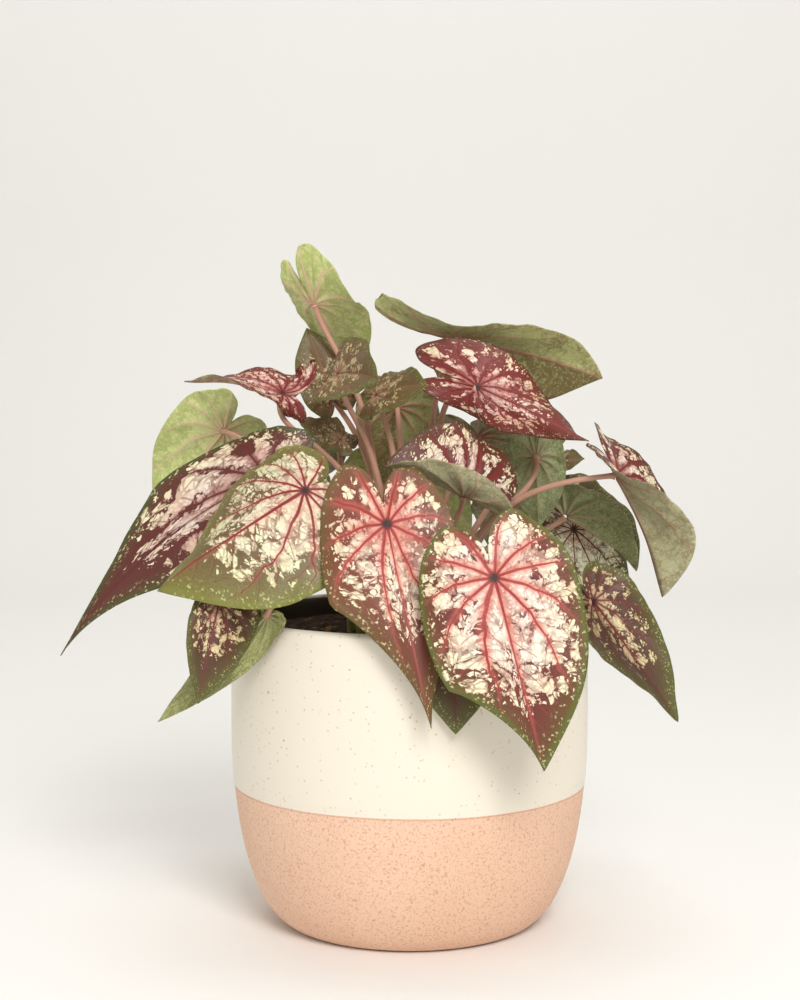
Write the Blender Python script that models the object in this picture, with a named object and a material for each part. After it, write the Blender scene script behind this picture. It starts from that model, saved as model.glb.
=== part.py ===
"""Caladium in a stoneware pot.

Every piece is a closed solid: the pot, the potting soil, and each leaf, whose blade and
petiole grew as one.  The origin is the centre of the pot's flat base, +Z is up, and the
front of the plant looks along -Y.  Sizes are written in millimetres and degrees.
"""

import math
from dataclasses import dataclass

import bpy
import numpy as np

MM = 0.001

# Pot: a turned jar with a round shoulder at its foot and a straight upper wall.
POT_RADIUS = 87.5
POT_HEIGHT = 152.0
POT_BASE_RADIUS = 56.0
POT_SHOULDER_HEIGHT = 95.0
POT_SHOULDER_POWER = 2.1
POT_WALL = 6.0
POT_FLOOR = 9.0
POT_SEGMENTS = 40
POT_SHOULDER_STEPS = 5
LIP_STEPS = 4

# Soil: fills the pot to just below the lip, a little higher round the crown.
SOIL_TOP = 141.0
SOIL_CROWN = 5.0
SOIL_SEGMENTS = 32
SOIL_RIPPLE = 0.8
GAP = 0.5

# Leaves: one thickness of blade, and one taper of petiole.
BLADE_THICKNESS = 0.9
BOSS_RADIUS = 2.0
PETIOLE_TOP_RADIUS = 1.25
PETIOLE_BASE_RADIUS = 2.1
PETIOLE_SIDES = 6
PETIOLE_RINGS = 7
PETIOLE_FOOT = 126.0
PETIOLE_NECK = 148.0
HOLE_DEPTH = 4.0

# Flat outline of a blade, as distances from the joint over the joint-to-tip length.
# Zero degrees is the tip, and 180 degrees is the bottom of the notch.
HEART_ANGLES = (0, 6, 16, 31, 52, 75, 100, 130, 155, 170, 180)
HEART_RADII = (1.0, 0.90, 0.78, 0.65, 0.505, 0.42, 0.385, 0.37, 0.36, 0.25, 0.10)
HALF_WIDTH = 0.41
RING_POINTS = (6, 12, 24, 24)
RING_REACH = (0.0, 0.36, 0.72, 1.0)
RIM_CROWDING = 0.25

# Crown: petiole feet stand on three rings in the soil, high leaves on the inner one.
# Each ring gives the lowest joint it takes, its radius, and its petioles' rise and reach.
CROWN_PLACE = (0.0, 4.0)
CROWN_RINGS = ((250.0, 13.0, 0.65, 0.17), (195.0, 25.0, 0.5, 0.25), (0.0, 37.0, 0.4, 0.3))
FOOT_SPACE = 6.2
SPREAD_ROUNDS = 200


@dataclass
class Leaf:
    """One leaf.  `joint` is where petiole and blade meet, `tip` is the blade's point and
    `face` is the way the upper side looks at mid blade.  Angles bend the blade down,
    away from its upper side, when they are positive in `bend`, `tip_bend` and `lobes`,
    and lift its two halves when they are positive in `fold` and `curl`.  A pair gives
    the right half and the left half, as seen with the tip down and the face in view,
    and `fold` and `curl` may give each half three values, at the lobes, the middle and
    the tip."""

    name: str
    joint: tuple
    tip: tuple
    face: tuple
    width: tuple = (1.0, 1.0)
    bend: float = 20.0
    tip_bend: float = 0.0
    sway: float = 0.0
    twist: float = 0.0
    fold: tuple = (8.0, 8.0)
    curl: tuple = (-15.0, -15.0)
    lobes: tuple = (15.0, 15.0)
    lobe_size: tuple = (1.0, 1.0)
    tail: tuple = (0.0, 0.0)
    tail_start: float = 0.35
    wave: float = 1.5
    waves: int = 5
    phase: float = 0.0
    hang: float = 25.0
    rise: float = 0.0
    reach: float = 0.0
    turn: float = -1.0
    foot: tuple = (0.0, 0.0)


LEAVES = (
    Leaf("leaf_front_heart", (36, -108, 180), (57, -120, 98), (-0.05, -1, 0.12),
         tail=(0.0, 0.85), tail_start=0.5, lobes=(20, 10), fold=(4, 4), curl=(-12, -14)),
    Leaf("leaf_middle_heart", (-10.5, -79, 201), (9, -107, 114), (-0.2, -1, 0.3), width=(0.8, 0.85),
         lobes=(45, 5), lobe_size=(1.1, 1.1), tail=(0.6, 0.98), fold=((0, -20, -35), 6), curl=(-20, -12)),
    Leaf("leaf_left_heart", (-48, -62, 215), (-114, -77, 171), (-0.15, -1, 0.35), width=(1.33, 1.25),
         tail=(-0.1, 0.35), lobes=(50, 30), lobe_size=(0.85, 0.85), fold=(4, (-12, -30, -50)),
         curl=(-8, -25)),
    Leaf("leaf_left_tail", (-70, -30, 218), (-168, -20, 133), (-0.2, -1, 0.6), width=(0.6, 0.5),
         sway=25, tail=(0.95, 0.85), lobe_size=(0.7, 0.7), fold=((8, -15, -30), 8)),
    Leaf("leaf_left_green", (-92.5, 20, 240), (-129, 30, 197), (0.2, 1, 0.3), width=(1.1, 1.1)),
    Leaf("leaf_left_curl", (-61, -15, 259), (-108, -15, 265), (0, -0.1, 1),
         fold=((-70, 5, 5), (60, 30, 0)), curl=((-60, 0, 0), -10), lobes=(40, -75),
         lobe_size=(1.2, 2.2), width=(0.6, 0.7), hang=0),
    Leaf("leaf_top_green", (-47, 5, 303), (-27, 45, 268), (0.15, 0.9, 0.4),
         lobe_size=(1.5, 1.9), lobes=(-25, -25), width=(0.6, 0.95), fold=(30, 0), hang=-55,
         reach=0.2),
    Leaf("leaf_left_back", (-39, 15, 259), (-51, 20, 291), (0, -1, 0.3)),
    Leaf("leaf_top_fold", (-34, -20, 268), (-14, -55, 265), (0, -0.6, 0.8), width=(1.1, 1.1),
         fold=(60, -20)),
    Leaf("leaf_top_saddle", (-16, -15, 258), (8, -40, 263), (0, -0.6, 0.8), fold=(25, -20)),
    Leaf("leaf_back_left", (-34, 0, 236), (-57, 4, 247), (0, -0.6, 1)),
    Leaf("leaf_top_long", (24, 5, 285), (94, 0, 266), (0, 0.5, 0.87),
         tail=(-0.5, -0.5), lobe_size=(0.5, 2.1), lobes=(10, -15), width=(1.0, 0.8),
         fold=((-20, -25, -10), (0, 0, 45)), reach=0.1, turn=45),
    Leaf("leaf_red_crest", (32, -27, 262), (83, -45, 237), (0, -0.5, 1), width=(1, 0.6), bend=5,
         fold=((50, 5, -40), (-40, -60, -30)), curl=(0, -40), lobe_size=(1.7, 1.7), tail=(0.4, 0.2),
         turn=40, rise=0.9, reach=0.12, hang=40),
    Leaf("leaf_centre_red", (25, -45, 212), (-12, -48, 226), (0.05, -0.8, 0.6),
         width=(1.2, 2.2), fold=(60, 30), curl=(60, -25), lobe_size=(1.9, 1.9)),
    Leaf("leaf_right_green", (62, 2, 228), (64, 6, 193), (0, 1, 0.2), lobe_size=(2.0, 2.0), hang=-30),
    Leaf("leaf_right_tail", (59, 30, 231), (79, 26, 235), (0, -0.7, 0.7)),
    Leaf("leaf_right_fold", (70, 36, 222), (88, 26, 226), (0, -0.7, 0.7)),
    Leaf("leaf_right_under", (79, 24, 197), (115, 22, 170), (0.65, -0.1, 0.75),
         fold=(65, 60), width=(1.4, 1.4)),
    Leaf("leaf_right_white", (84, 38, 189), (106, 34, 138), (0.4, -1, 0.2), tail=(0.2, 0.2)),
    Leaf("leaf_right_low", (84, -60, 164), (123, -63, 109), (0.1, -1, 0.2), width=(0.75, 0.75),
         fold=(0, -60), tail=(0.3, 0.3), lobes=(-20, -30), lobe_size=(0.7, 0.7), rise=0.7, reach=0.4),
    Leaf("leaf_right_far", (99, -20, 220), (121, -25, 162), (0.94, 0.15, 0.36),
         width=(1.0, 1.05), tail=(-0.5, -0.5), fold=((35, 60, 75), (-32, 25, 80)), curl=(0, 0),
         lobes=(0, 0), lobe_size=(1.3, 1.0)),
    Leaf("leaf_front_low", (20, -83, 160), (20, -94, 109), (0, -1, 0.1), lobes=(0, 0)),
    Leaf("leaf_left_low_dark", (-86, -76, 166), (-95, -84, 121), (0, -1, 0.2),
         width=(1.2, 0.6), tail=(0.3, 0.0), fold=(-30, 0)),
    Leaf("leaf_left_low_green", (-65, -66, 158), (-117, -54, 107), (0.6, 0.8, 0),
         width=(0.42, 0.36), lobe_size=(0.3, 0.3), hang=60, rise=0.6),
    Leaf("leaf_back_left_low", (-66, 62, 190), (-104, 100, 132), (-0.6, 0.7, 0.4)),
    Leaf("leaf_back_left_high", (-58, 58, 226), (-90, 100, 182), (-0.4, 0.8, 0.5)),
    Leaf("leaf_back_centre", (-6, 84, 206), (4, 120, 120), (0, 1, 0.4)),
    Leaf("leaf_back_right_high", (36, 66, 236), (60, 112, 190), (0.4, 0.8, 0.5)),
    Leaf("leaf_back_right_low", (60, 70, 188), (90, 108, 126), (0.6, 0.7, 0.4)),
    Leaf("leaf_back_top", (-6, 34, 252), (-4, 50, 202), (0, 1, 0.25)),
)


def clear_scene():
    """Removes whatever objects the file opened with."""
    for thing in list(bpy.data.objects):
        bpy.data.objects.remove(thing, do_unlink=True)


def make_material(name, colour, roughness):
    """A plain dielectric finish of one colour."""
    material = bpy.data.materials.new(name)
    material.use_nodes = True
    shader = material.node_tree.nodes["Principled BSDF"]
    shader.inputs["Base Color"].default_value = (*colour, 1.0)
    shader.inputs["Roughness"].default_value = roughness
    shader.inputs["Metallic"].default_value = 0.0
    material.diffuse_color = (*colour, 1.0)
    return material


def make_object(name, points, faces, material, smooth_angle=60.0):
    """Puts a closed mesh in the scene.  `points` are in millimetres."""
    mesh = bpy.data.meshes.new(name)
    mesh.from_pydata([tuple(MM * value for value in point) for point in points], [], faces)
    mesh.materials.append(material)
    mesh.shade_smooth()
    mesh.set_sharp_from_angle(angle=math.radians(smooth_angle))
    thing = bpy.data.objects.new(name, mesh)
    bpy.context.collection.objects.link(thing)
    return thing


def turned_solid(name, profile, segments, material, lift=None):
    """Turns a profile of (radius, height) points round the Z axis.  The profile starts
    and ends on the axis.  `lift` may add a height to each point from its place."""
    points = [(0.0, 0.0, profile[0][1])]
    for radius, height in profile[1:-1]:
        for step in range(segments):
            angle = math.tau * step / segments
            x = radius * math.cos(angle)
            y = radius * math.sin(angle)
            extra = lift(radius, angle, height) if lift else 0.0
            points.append((x, y, height + extra))
    points.append((0.0, 0.0, profile[-1][1]))
    rings = len(profile) - 2
    faces = []
    for step in range(segments):
        after = (step + 1) % segments
        faces.append((0, 1 + after, 1 + step))
        for ring in range(rings - 1):
            low = 1 + ring * segments
            high = low + segments
            faces.append((low + step, low + after, high + after, high + step))
        last = 1 + (rings - 1) * segments
        faces.append((last + step, last + after, len(points) - 1))
    return make_object(name, points, faces, material)


def shoulder(radius_in, radius_out, height_in, height_out, steps):
    """Points up a superellipse quarter, from the foot of a round shoulder to its top."""
    points = []
    for step in range(steps + 1):
        turn = 0.5 * math.pi * step / steps
        across = math.sin(turn) ** (2.0 / POT_SHOULDER_POWER)
        down = math.cos(turn) ** (2.0 / POT_SHOULDER_POWER)
        radius = radius_in + (radius_out - radius_in) * across
        height = height_out - (height_out - height_in) * down
        points.append((radius, height))
    return points


def pot_profile():
    """Outer wall from the base up, round the lip, and down the inner wall."""
    outer = shoulder(POT_BASE_RADIUS, POT_RADIUS, 0.0, POT_SHOULDER_HEIGHT, POT_SHOULDER_STEPS)
    inner = inner_profile(0.0)
    lip_radius = 0.5 * POT_WALL
    lip = []
    for step in range(LIP_STEPS + 1):
        turn = math.pi * step / LIP_STEPS
        lip.append((
            POT_RADIUS - lip_radius + lip_radius * math.cos(turn),
            POT_HEIGHT - lip_radius + lip_radius * math.sin(turn),
        ))
    return [(0.0, 0.0)] + outer + lip + inner[::-1] + [(0.0, POT_FLOOR)]


def inner_profile(gap):
    """Inner wall from the floor up, moved in by `gap` for what fills the pot."""
    return shoulder(
        POT_BASE_RADIUS - 0.5 * POT_WALL - gap,
        POT_RADIUS - POT_WALL - gap,
        POT_FLOOR + gap,
        POT_SHOULDER_HEIGHT,
        POT_SHOULDER_STEPS,
    )


def make_pot(material):
    """The jar, one fired body with a hollow for the soil."""
    return turned_solid("pot", pot_profile(), POT_SEGMENTS, material)


def soil_lift(radius, angle, height):
    """Small ripples on the soil's top surface, none on its sides."""
    if height < SOIL_TOP:
        return 0.0
    return SOIL_RIPPLE * math.sin(3.0 * angle + 0.05 * radius) * math.sin(5.0 * angle)


def make_soil(material, leaves):
    """The potting soil, turned to the pot's inside, with a plain hole for each petiole."""
    inside = inner_profile(GAP)
    wall = POT_RADIUS - POT_WALL - GAP
    top = [(wall, SOIL_TOP), (0.62 * wall, SOIL_TOP + 0.6 * SOIL_CROWN)]
    top += [(0.3 * wall, SOIL_TOP + 0.9 * SOIL_CROWN), (0.0, SOIL_TOP + SOIL_CROWN)]
    profile = [(0.0, POT_FLOOR + GAP)] + inside + top
    soil = turned_solid("potting_soil", profile, SOIL_SEGMENTS, material, soil_lift)
    points = []
    faces = []
    radius = PETIOLE_BASE_RADIUS + GAP + 0.15
    bottom = PETIOLE_FOOT - HOLE_DEPTH
    high = SOIL_TOP + 3.0 * SOIL_CROWN
    for leaf in leaves:
        start = len(points)
        for height in (bottom, high):
            for side in range(PETIOLE_SIDES):
                angle = math.tau * side / PETIOLE_SIDES
                x = leaf.foot[0] + radius * math.cos(angle)
                y = leaf.foot[1] + radius * math.sin(angle)
                points.append((x, y, height))
        low = list(range(start, start + PETIOLE_SIDES))
        top_ring = [index + PETIOLE_SIDES for index in low]
        faces.append(low[::-1])
        faces.append(top_ring)
        for side in range(PETIOLE_SIDES):
            after = (side + 1) % PETIOLE_SIDES
            faces.append((low[side], low[after], top_ring[after], top_ring[side]))
    cutter = make_object("hole_cutter", points, faces, material)
    cut = soil.modifiers.new("petiole_holes", "BOOLEAN")
    cut.operation = "DIFFERENCE"
    cut.solver = "EXACT"
    cut.object = cutter
    bpy.context.view_layer.update()
    solved = soil.evaluated_get(bpy.context.evaluated_depsgraph_get())
    finished = bpy.data.meshes.new_from_object(solved)
    soil.modifiers.remove(cut)
    soil.data = finished
    bpy.data.objects.remove(cutter, do_unlink=True)
    return soil


def smooth_curve(knots, values, at):
    """A cubic through each (knot, value) pair.  Its slope at a knot is that of the line
    between the knot's neighbours."""
    knots = np.asarray(knots, float)
    values = np.asarray(values, float)
    slopes = np.gradient(values, knots)
    span = np.clip(np.searchsorted(knots, at, side="right") - 1, 0, len(knots) - 2)
    width = knots[span + 1] - knots[span]
    s = (at - knots[span]) / width
    start = (1 + 2 * s) * (1 - s) ** 2 * values[span]
    leave = s * (1 - s) ** 2 * width * slopes[span]
    end = s * s * (3 - 2 * s) * values[span + 1]
    arrive = s * s * (s - 1) * width * slopes[span + 1]
    return start + leave + end + arrive


def outline(leaf, theta):
    """Flat outline at polar angle theta: (along, across) over the length."""
    folded = np.degrees(np.abs((theta + np.pi) % math.tau - np.pi))
    radius = smooth_curve(HEART_ANGLES, HEART_RADII, folded)
    along = radius * np.cos(theta)
    right = np.sin(theta) >= 0.0
    across = radius * np.sin(theta) * np.where(right, leaf.width[0], leaf.width[1])
    taper = np.where(right, leaf.tail[0], leaf.tail[1])
    past = np.clip((along - leaf.tail_start) / (1.0 - leaf.tail_start), 0.0, 1.0)
    narrow = 1.0 - taper * past ** 0.7
    lobe = np.where(right, leaf.lobe_size[0], leaf.lobe_size[1])
    along = np.where(along < 0.0, along * lobe, along)
    return along, across * narrow


def three_way(value, along):
    """A parabola through the values at the lobes, the middle and the tip."""
    if not isinstance(value, tuple):
        return np.full_like(along, value)
    back, middle, front = value
    a, b, c = -0.3, 0.35, 1.0
    return (
        back * (along - b) * (along - c) / ((a - b) * (a - c))
        + middle * (along - a) * (along - c) / ((b - a) * (b - c))
        + front * (along - a) * (along - b) / ((c - a) * (c - b))
    )


def rib_angles(leaf, along, side):
    """Pitch, yaw and roll of the rib line at `along`; lobes pitch on their own."""
    ahead = np.clip(along, 0.0, None)
    behind = np.clip(-along, 0.0, None) / 0.36
    tip_part = np.clip((ahead - 0.6) / 0.4, 0.0, None) ** 2
    lobe = np.where(side > 0, leaf.lobes[0], leaf.lobes[1])
    pitch = leaf.bend * ahead + leaf.tip_bend * tip_part - lobe * behind
    yaw = leaf.sway * ahead
    roll = leaf.twist * ahead
    return np.radians(pitch), np.radians(yaw), np.radians(roll)


def rib_frame(leaf, along, side):
    """Unit vectors along, across and out of the blade at the rib line."""
    pitch, yaw, roll = rib_angles(leaf, along, side)
    forward = np.stack([
        np.cos(pitch) * np.cos(yaw), np.cos(pitch) * np.sin(yaw), -np.sin(pitch)
    ], -1)
    level = np.stack([-np.sin(yaw), np.cos(yaw), np.zeros_like(yaw)], -1)
    out = np.cross(forward, level)
    across = np.cos(roll)[:, None] * level + np.sin(roll)[:, None] * out
    return forward, across, np.cross(forward, across)


def rib_points(leaf, along, side):
    """The rib line's places, by adding up short steps along its direction."""
    grid = np.linspace(-0.6, 1.0, 321)
    zero = 120
    result = np.zeros((len(along), 3))
    for which in (-1.0, 1.0):
        forward, _, _ = rib_frame(leaf, grid, np.full_like(grid, which))
        step = grid[1] - grid[0]
        run = np.concatenate([np.zeros((1, 3)), np.cumsum(
            0.5 * (forward[1:] + forward[:-1]) * step, axis=0)])
        run -= run[zero]
        chosen = side == which
        for axis in range(3):
            result[chosen, axis] = np.interp(along[chosen], grid, run[:, axis])
    return result


def bent_blade(leaf, along, across):
    """The bent mid surface for flat places (along, across), over the length."""
    side = np.where(across >= 0.0, 1.0, -1.0)
    centre = rib_points(leaf, along, side)
    _, over, out = rib_frame(leaf, along, side)
    fold = np.where(side > 0, three_way(leaf.fold[0], along), three_way(leaf.fold[1], along))
    curl = np.where(side > 0, three_way(leaf.curl[0], along), three_way(leaf.curl[1], along))
    fold = np.radians(fold)
    curl = np.radians(np.where(np.abs(curl) < 0.1, 0.1, curl))
    reach = np.abs(across) / HALF_WIDTH
    sideways = HALF_WIDTH / curl * (np.sin(fold + curl * reach) - np.sin(fold))
    upward = -HALF_WIDTH / curl * (np.cos(fold + curl * reach) - np.cos(fold))
    return centre + (side * sideways)[:, None] * over + upward[:, None] * out


def ripple(leaf, theta, share):
    """Wave of the margin along the normal, in millimetres; it dies away inward."""
    return leaf.wave * share ** 2.5 * np.sin(leaf.waves * theta + math.radians(leaf.phase))


def placing(leaf):
    """Scale and turn that carry the bent blade to its joint, tip and facing."""
    one = np.ones(1)
    tip = rib_points(leaf, one, one)[0]
    _, _, out = rib_frame(leaf, 0.4 * one, one)
    chord = np.array(leaf.tip, float) - np.array(leaf.joint, float)
    scale = np.linalg.norm(chord) / np.linalg.norm(tip)
    local = square_axes(tip, out[0])
    world = square_axes(chord, np.array(leaf.face, float))
    return scale, world.T @ local


def square_axes(first, near):
    """Three unit rows: along `first`, across, and the part of `near` square to it."""
    first = first / np.linalg.norm(first)
    third = near - first * (near @ first)
    third = third / np.linalg.norm(third)
    return np.array([first, np.cross(third, first), third])


def blade_rings(leaf):
    """Mid-surface points of the blade in rings round the joint, and their shares."""
    scale, turn = placing(leaf)
    points = [np.zeros((1, 3))]
    waves = [np.zeros(1)]
    boss = BOSS_RADIUS / scale
    for count, reach in zip(RING_POINTS, RING_REACH):
        even = np.arange(count) * math.tau / count
        crowd = RIM_CROWDING * min(1.0, 2.0 * reach)
        theta = even - crowd * np.sin(2.0 * even)
        along, across = outline(leaf, theta)
        along = boss * np.cos(theta) + (along - boss * np.cos(theta)) * reach
        across = boss * np.sin(theta) + (across - boss * np.sin(theta)) * reach
        points.append(bent_blade(leaf, along, across) * scale)
        waves.append(ripple(leaf, theta, np.full(count, reach)))
    return np.concatenate(points) @ turn.T + np.array(leaf.joint, float), np.concatenate(waves)


def ring_triangles():
    """Triangles of one face of the blade, as indices into its ring points."""
    faces = []
    first = 1
    for step in range(RING_POINTS[0]):
        faces.append((0, first + step, first + (step + 1) % RING_POINTS[0]))
    starts = [first]
    for count in RING_POINTS:
        starts.append(starts[-1] + count)
    for ring in range(len(RING_POINTS) - 1):
        inner, outer = RING_POINTS[ring], RING_POINTS[ring + 1]
        low, high = starts[ring], starts[ring + 1]
        for step in range(inner):
            here, after = low + step, low + (step + 1) % inner
            if outer == inner:
                out, beyond = high + step, high + (step + 1) % outer
                faces.append((here, out, beyond))
                faces.append((here, beyond, after))
            else:
                out = high + 2 * step
                middle = high + (2 * step + 1) % outer
                beyond = high + (2 * step + 2) % outer
                faces.append((here, out, middle))
                faces.append((here, middle, after))
                faces.append((after, middle, beyond))
    return faces


def point_normals(points, faces):
    """Unit normal at each point, from the triangles round it."""
    corners = points[np.array(faces)]
    normal = np.cross(corners[:, 1] - corners[:, 0], corners[:, 2] - corners[:, 0])
    total = np.zeros_like(points)
    for corner in range(3):
        np.add.at(total, np.array(faces)[:, corner], normal)
    return total / np.linalg.norm(total, axis=1)[:, None]


def ring_of(leaf):
    """The crown ring whose petioles carry joints as high as this leaf's."""
    for number, ring in enumerate(CROWN_RINGS):
        if leaf.joint[2] > ring[0]:
            return number
    return len(CROWN_RINGS) - 1


def spread_apart(turns, gap):
    """Moves angles round a ring until neighbours stand at least `gap` apart."""
    for _ in range(SPREAD_ROUNDS):
        order = sorted(range(len(turns)), key=lambda index: turns[index] % math.tau)
        moves = [0.0] * len(turns)
        for here, after in zip(order, order[1:] + order[:1]):
            short = gap - (turns[after] - turns[here]) % math.tau
            if short > 0.0:
                moves[here] -= 0.25 * short
                moves[after] += 0.25 * short
        turns = [turn + move for turn, move in zip(turns, moves)]
    return turns


def place_feet(leaves):
    """Sets each petiole's foot on its ring, on its joint's side of the crown, and its
    rise and reach where the leaf has none of its own."""
    for number, (_, radius, rise, reach) in enumerate(CROWN_RINGS):
        group = [leaf for leaf in leaves if ring_of(leaf) == number]
        turns = []
        for leaf in group:
            away_x = leaf.joint[0] - CROWN_PLACE[0]
            away_y = leaf.joint[1] - CROWN_PLACE[1]
            own = math.radians(leaf.turn)
            turns.append(own if leaf.turn >= 0.0 else math.atan2(away_y, away_x) % math.tau)
        for leaf, turn in zip(group, spread_apart(turns, FOOT_SPACE / radius)):
            x = CROWN_PLACE[0] + radius * math.cos(turn)
            y = CROWN_PLACE[1] + radius * math.sin(turn)
            leaf.foot = (x, y)
            leaf.rise = leaf.rise or rise
            leaf.reach = leaf.reach or reach


def petiole_path(leaf, joint, normal, forward, count):
    """Places and directions down the petiole, from under the joint to its foot."""
    lean = math.radians(leaf.hang)
    arrive = normal * math.cos(lean) + forward * math.sin(lean)
    foot = np.array([leaf.foot[0], leaf.foot[1], PETIOLE_FOOT])
    distance = np.linalg.norm(joint - foot)
    neck = np.array([leaf.foot[0], leaf.foot[1], PETIOLE_NECK])
    start = joint - arrive * 2.5
    lift = np.array([0.0, 0.0, leaf.rise * distance])
    knots = [start, start - arrive * leaf.reach * distance, neck + lift, neck]
    s = np.linspace(0.0, 1.0, count - 1)[:, None]
    place = (
        (1 - s) ** 3 * knots[0] + 3 * s * (1 - s) ** 2 * knots[1]
        + 3 * s * s * (1 - s) * knots[2] + s ** 3 * knots[3]
    )
    along = (
        (1 - s) ** 2 * (knots[1] - knots[0]) + 2 * s * (1 - s) * (knots[2] - knots[1])
        + s * s * (knots[3] - knots[2])
    )
    place = np.concatenate([place, foot[None]])
    along = np.concatenate([along, [[0.0, 0.0, -1.0]]])
    return place, along / np.linalg.norm(along, axis=1)[:, None]


def carry_axes(axes, before, after):
    """Turns a pair of axes by the least turn that takes one direction to another."""
    hinge = np.cross(before, after)
    sine = np.linalg.norm(hinge)
    if sine < 1e-9:
        return axes
    hinge = hinge / sine
    cosine = before @ after
    return [
        axis * cosine + np.cross(hinge, axis) * sine + hinge * (hinge @ axis) * (1 - cosine)
        for axis in axes
    ]


def make_leaf(leaf, material):
    """Blade and petiole as one closed body: an upper face, an under face of the same
    triangles, the edge between them, and a tube from the under face to the foot."""
    middle, waves = blade_rings(leaf)
    faces = ring_triangles()
    normals = point_normals(middle, faces)
    middle = middle + normals * waves[:, None]
    normals = point_normals(middle, faces)
    upper = middle + 0.5 * BLADE_THICKNESS * normals
    under = (middle - 0.5 * BLADE_THICKNESS * normals)[1:]
    scale, turn = placing(leaf)
    one = np.zeros(1)
    forward, over, out = (axis[0] @ turn.T for axis in rib_frame(leaf, one, one + 1.0))
    joint = middle[0] - 0.5 * BLADE_THICKNESS * out
    place, along = petiole_path(leaf, joint, out, forward, PETIOLE_RINGS)
    axes = [forward, over]
    heading = -out
    tube = []
    for index in range(PETIOLE_RINGS):
        axes = carry_axes(axes, heading, along[index])
        heading = along[index]
        share = index / (PETIOLE_RINGS - 1)
        radius = PETIOLE_TOP_RADIUS + (PETIOLE_BASE_RADIUS - PETIOLE_TOP_RADIUS) * share
        for side in range(PETIOLE_SIDES):
            angle = math.tau * side / PETIOLE_SIDES
            tube.append(place[index] + radius * (
                math.cos(angle) * axes[0] + math.sin(angle) * axes[1]))
    points = np.concatenate([upper, under, np.array(tube)])
    top_count = len(upper)
    solid = list(faces)
    for a, b, c in faces:
        if a == 0:
            continue
        solid.append((top_count + c - 1, top_count + b - 1, top_count + a - 1))
    rim = top_count - RING_POINTS[-1]
    for step in range(RING_POINTS[-1]):
        here, after = rim + step, rim + (step + 1) % RING_POINTS[-1]
        low_here, low_after = here + top_count - 1, after + top_count - 1
        solid.append((here, low_here, low_after))
        solid.append((here, low_after, after))
    first_tube = top_count + len(under)
    rings = [top_count] + [first_tube + PETIOLE_SIDES * index for index in range(PETIOLE_RINGS)]
    for near, far in zip(rings[:-1], rings[1:]):
        for side in range(PETIOLE_SIDES):
            after = (side + 1) % PETIOLE_SIDES
            solid.append((near + side, far + side, far + after))
            solid.append((near + side, far + after, near + after))
    last = rings[-1]
    solid.append(tuple(last + side for side in reversed(range(PETIOLE_SIDES))))
    return make_object(leaf.name, points, solid, material, 50.0)


def main():
    """Builds the pot, its soil and every leaf."""
    clear_scene()
    stoneware = make_material("stoneware", (0.93, 0.87, 0.78), 0.45)
    earth = make_material("potting_soil", (0.09, 0.06, 0.045), 0.95)
    blade = make_material("leaf", (0.42, 0.16, 0.15), 0.5)
    place_feet(LEAVES)
    make_pot(stoneware)
    make_soil(earth, LEAVES)
    for leaf in LEAVES:
        make_leaf(leaf, blade)


if __name__ == "__main__":
    main()
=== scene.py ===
"""Looks of a caladium in its stoneware jar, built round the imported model.

The leaves, the soil and the jar are surfaces worked out with numpy from the same named
values as the solids they stand for, only finer.  Angles are in degrees and sizes in
millimetres until a mesh is written in metres.  The origin is the centre of the jar's
base, +Z is up and the front of the plant looks along -Y.
"""

import math
from dataclasses import dataclass

import bpy
import numpy as np
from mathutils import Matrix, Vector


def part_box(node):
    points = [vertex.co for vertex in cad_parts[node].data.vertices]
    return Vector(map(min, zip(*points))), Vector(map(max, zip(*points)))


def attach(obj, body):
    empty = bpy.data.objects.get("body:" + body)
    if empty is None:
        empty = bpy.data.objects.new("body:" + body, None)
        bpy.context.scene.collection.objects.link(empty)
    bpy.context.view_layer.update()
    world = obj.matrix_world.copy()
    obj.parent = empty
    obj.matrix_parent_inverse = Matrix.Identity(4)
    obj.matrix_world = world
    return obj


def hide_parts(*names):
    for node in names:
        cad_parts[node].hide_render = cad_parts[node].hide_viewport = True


bl_info = {
    "name": "Caladium in a Jar",
    "version": (1, 0, 0),
    "blender": (4, 5, 0),
    "location": "View3D > Sidebar > Caladium",
    "description": "Builds a veined caladium plant, its soil and its half-glazed jar",
    "category": "Add Mesh",
}

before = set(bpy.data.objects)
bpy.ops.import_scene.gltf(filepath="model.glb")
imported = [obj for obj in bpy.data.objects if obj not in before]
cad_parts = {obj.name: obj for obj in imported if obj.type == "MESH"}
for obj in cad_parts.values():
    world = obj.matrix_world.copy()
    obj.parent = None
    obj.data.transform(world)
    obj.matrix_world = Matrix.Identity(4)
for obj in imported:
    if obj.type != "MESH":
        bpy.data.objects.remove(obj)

MM = 0.001
JAR_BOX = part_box("pot")
JAR_RADIUS = 1000.0 * JAR_BOX[1][0]
JAR_HEIGHT = 1000.0 * JAR_BOX[1][2]


# Materials


def screen(red, green, blue):
    """A colour as a screen shows it, 0 to 255 each, in the linear values that shaders use."""
    shares = [value / 255.0 for value in (red, green, blue)]
    return tuple(
        share / 12.92 if share <= 0.04045 else ((share + 0.055) / 1.055) ** 2.4
        for share in shares
    )


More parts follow.
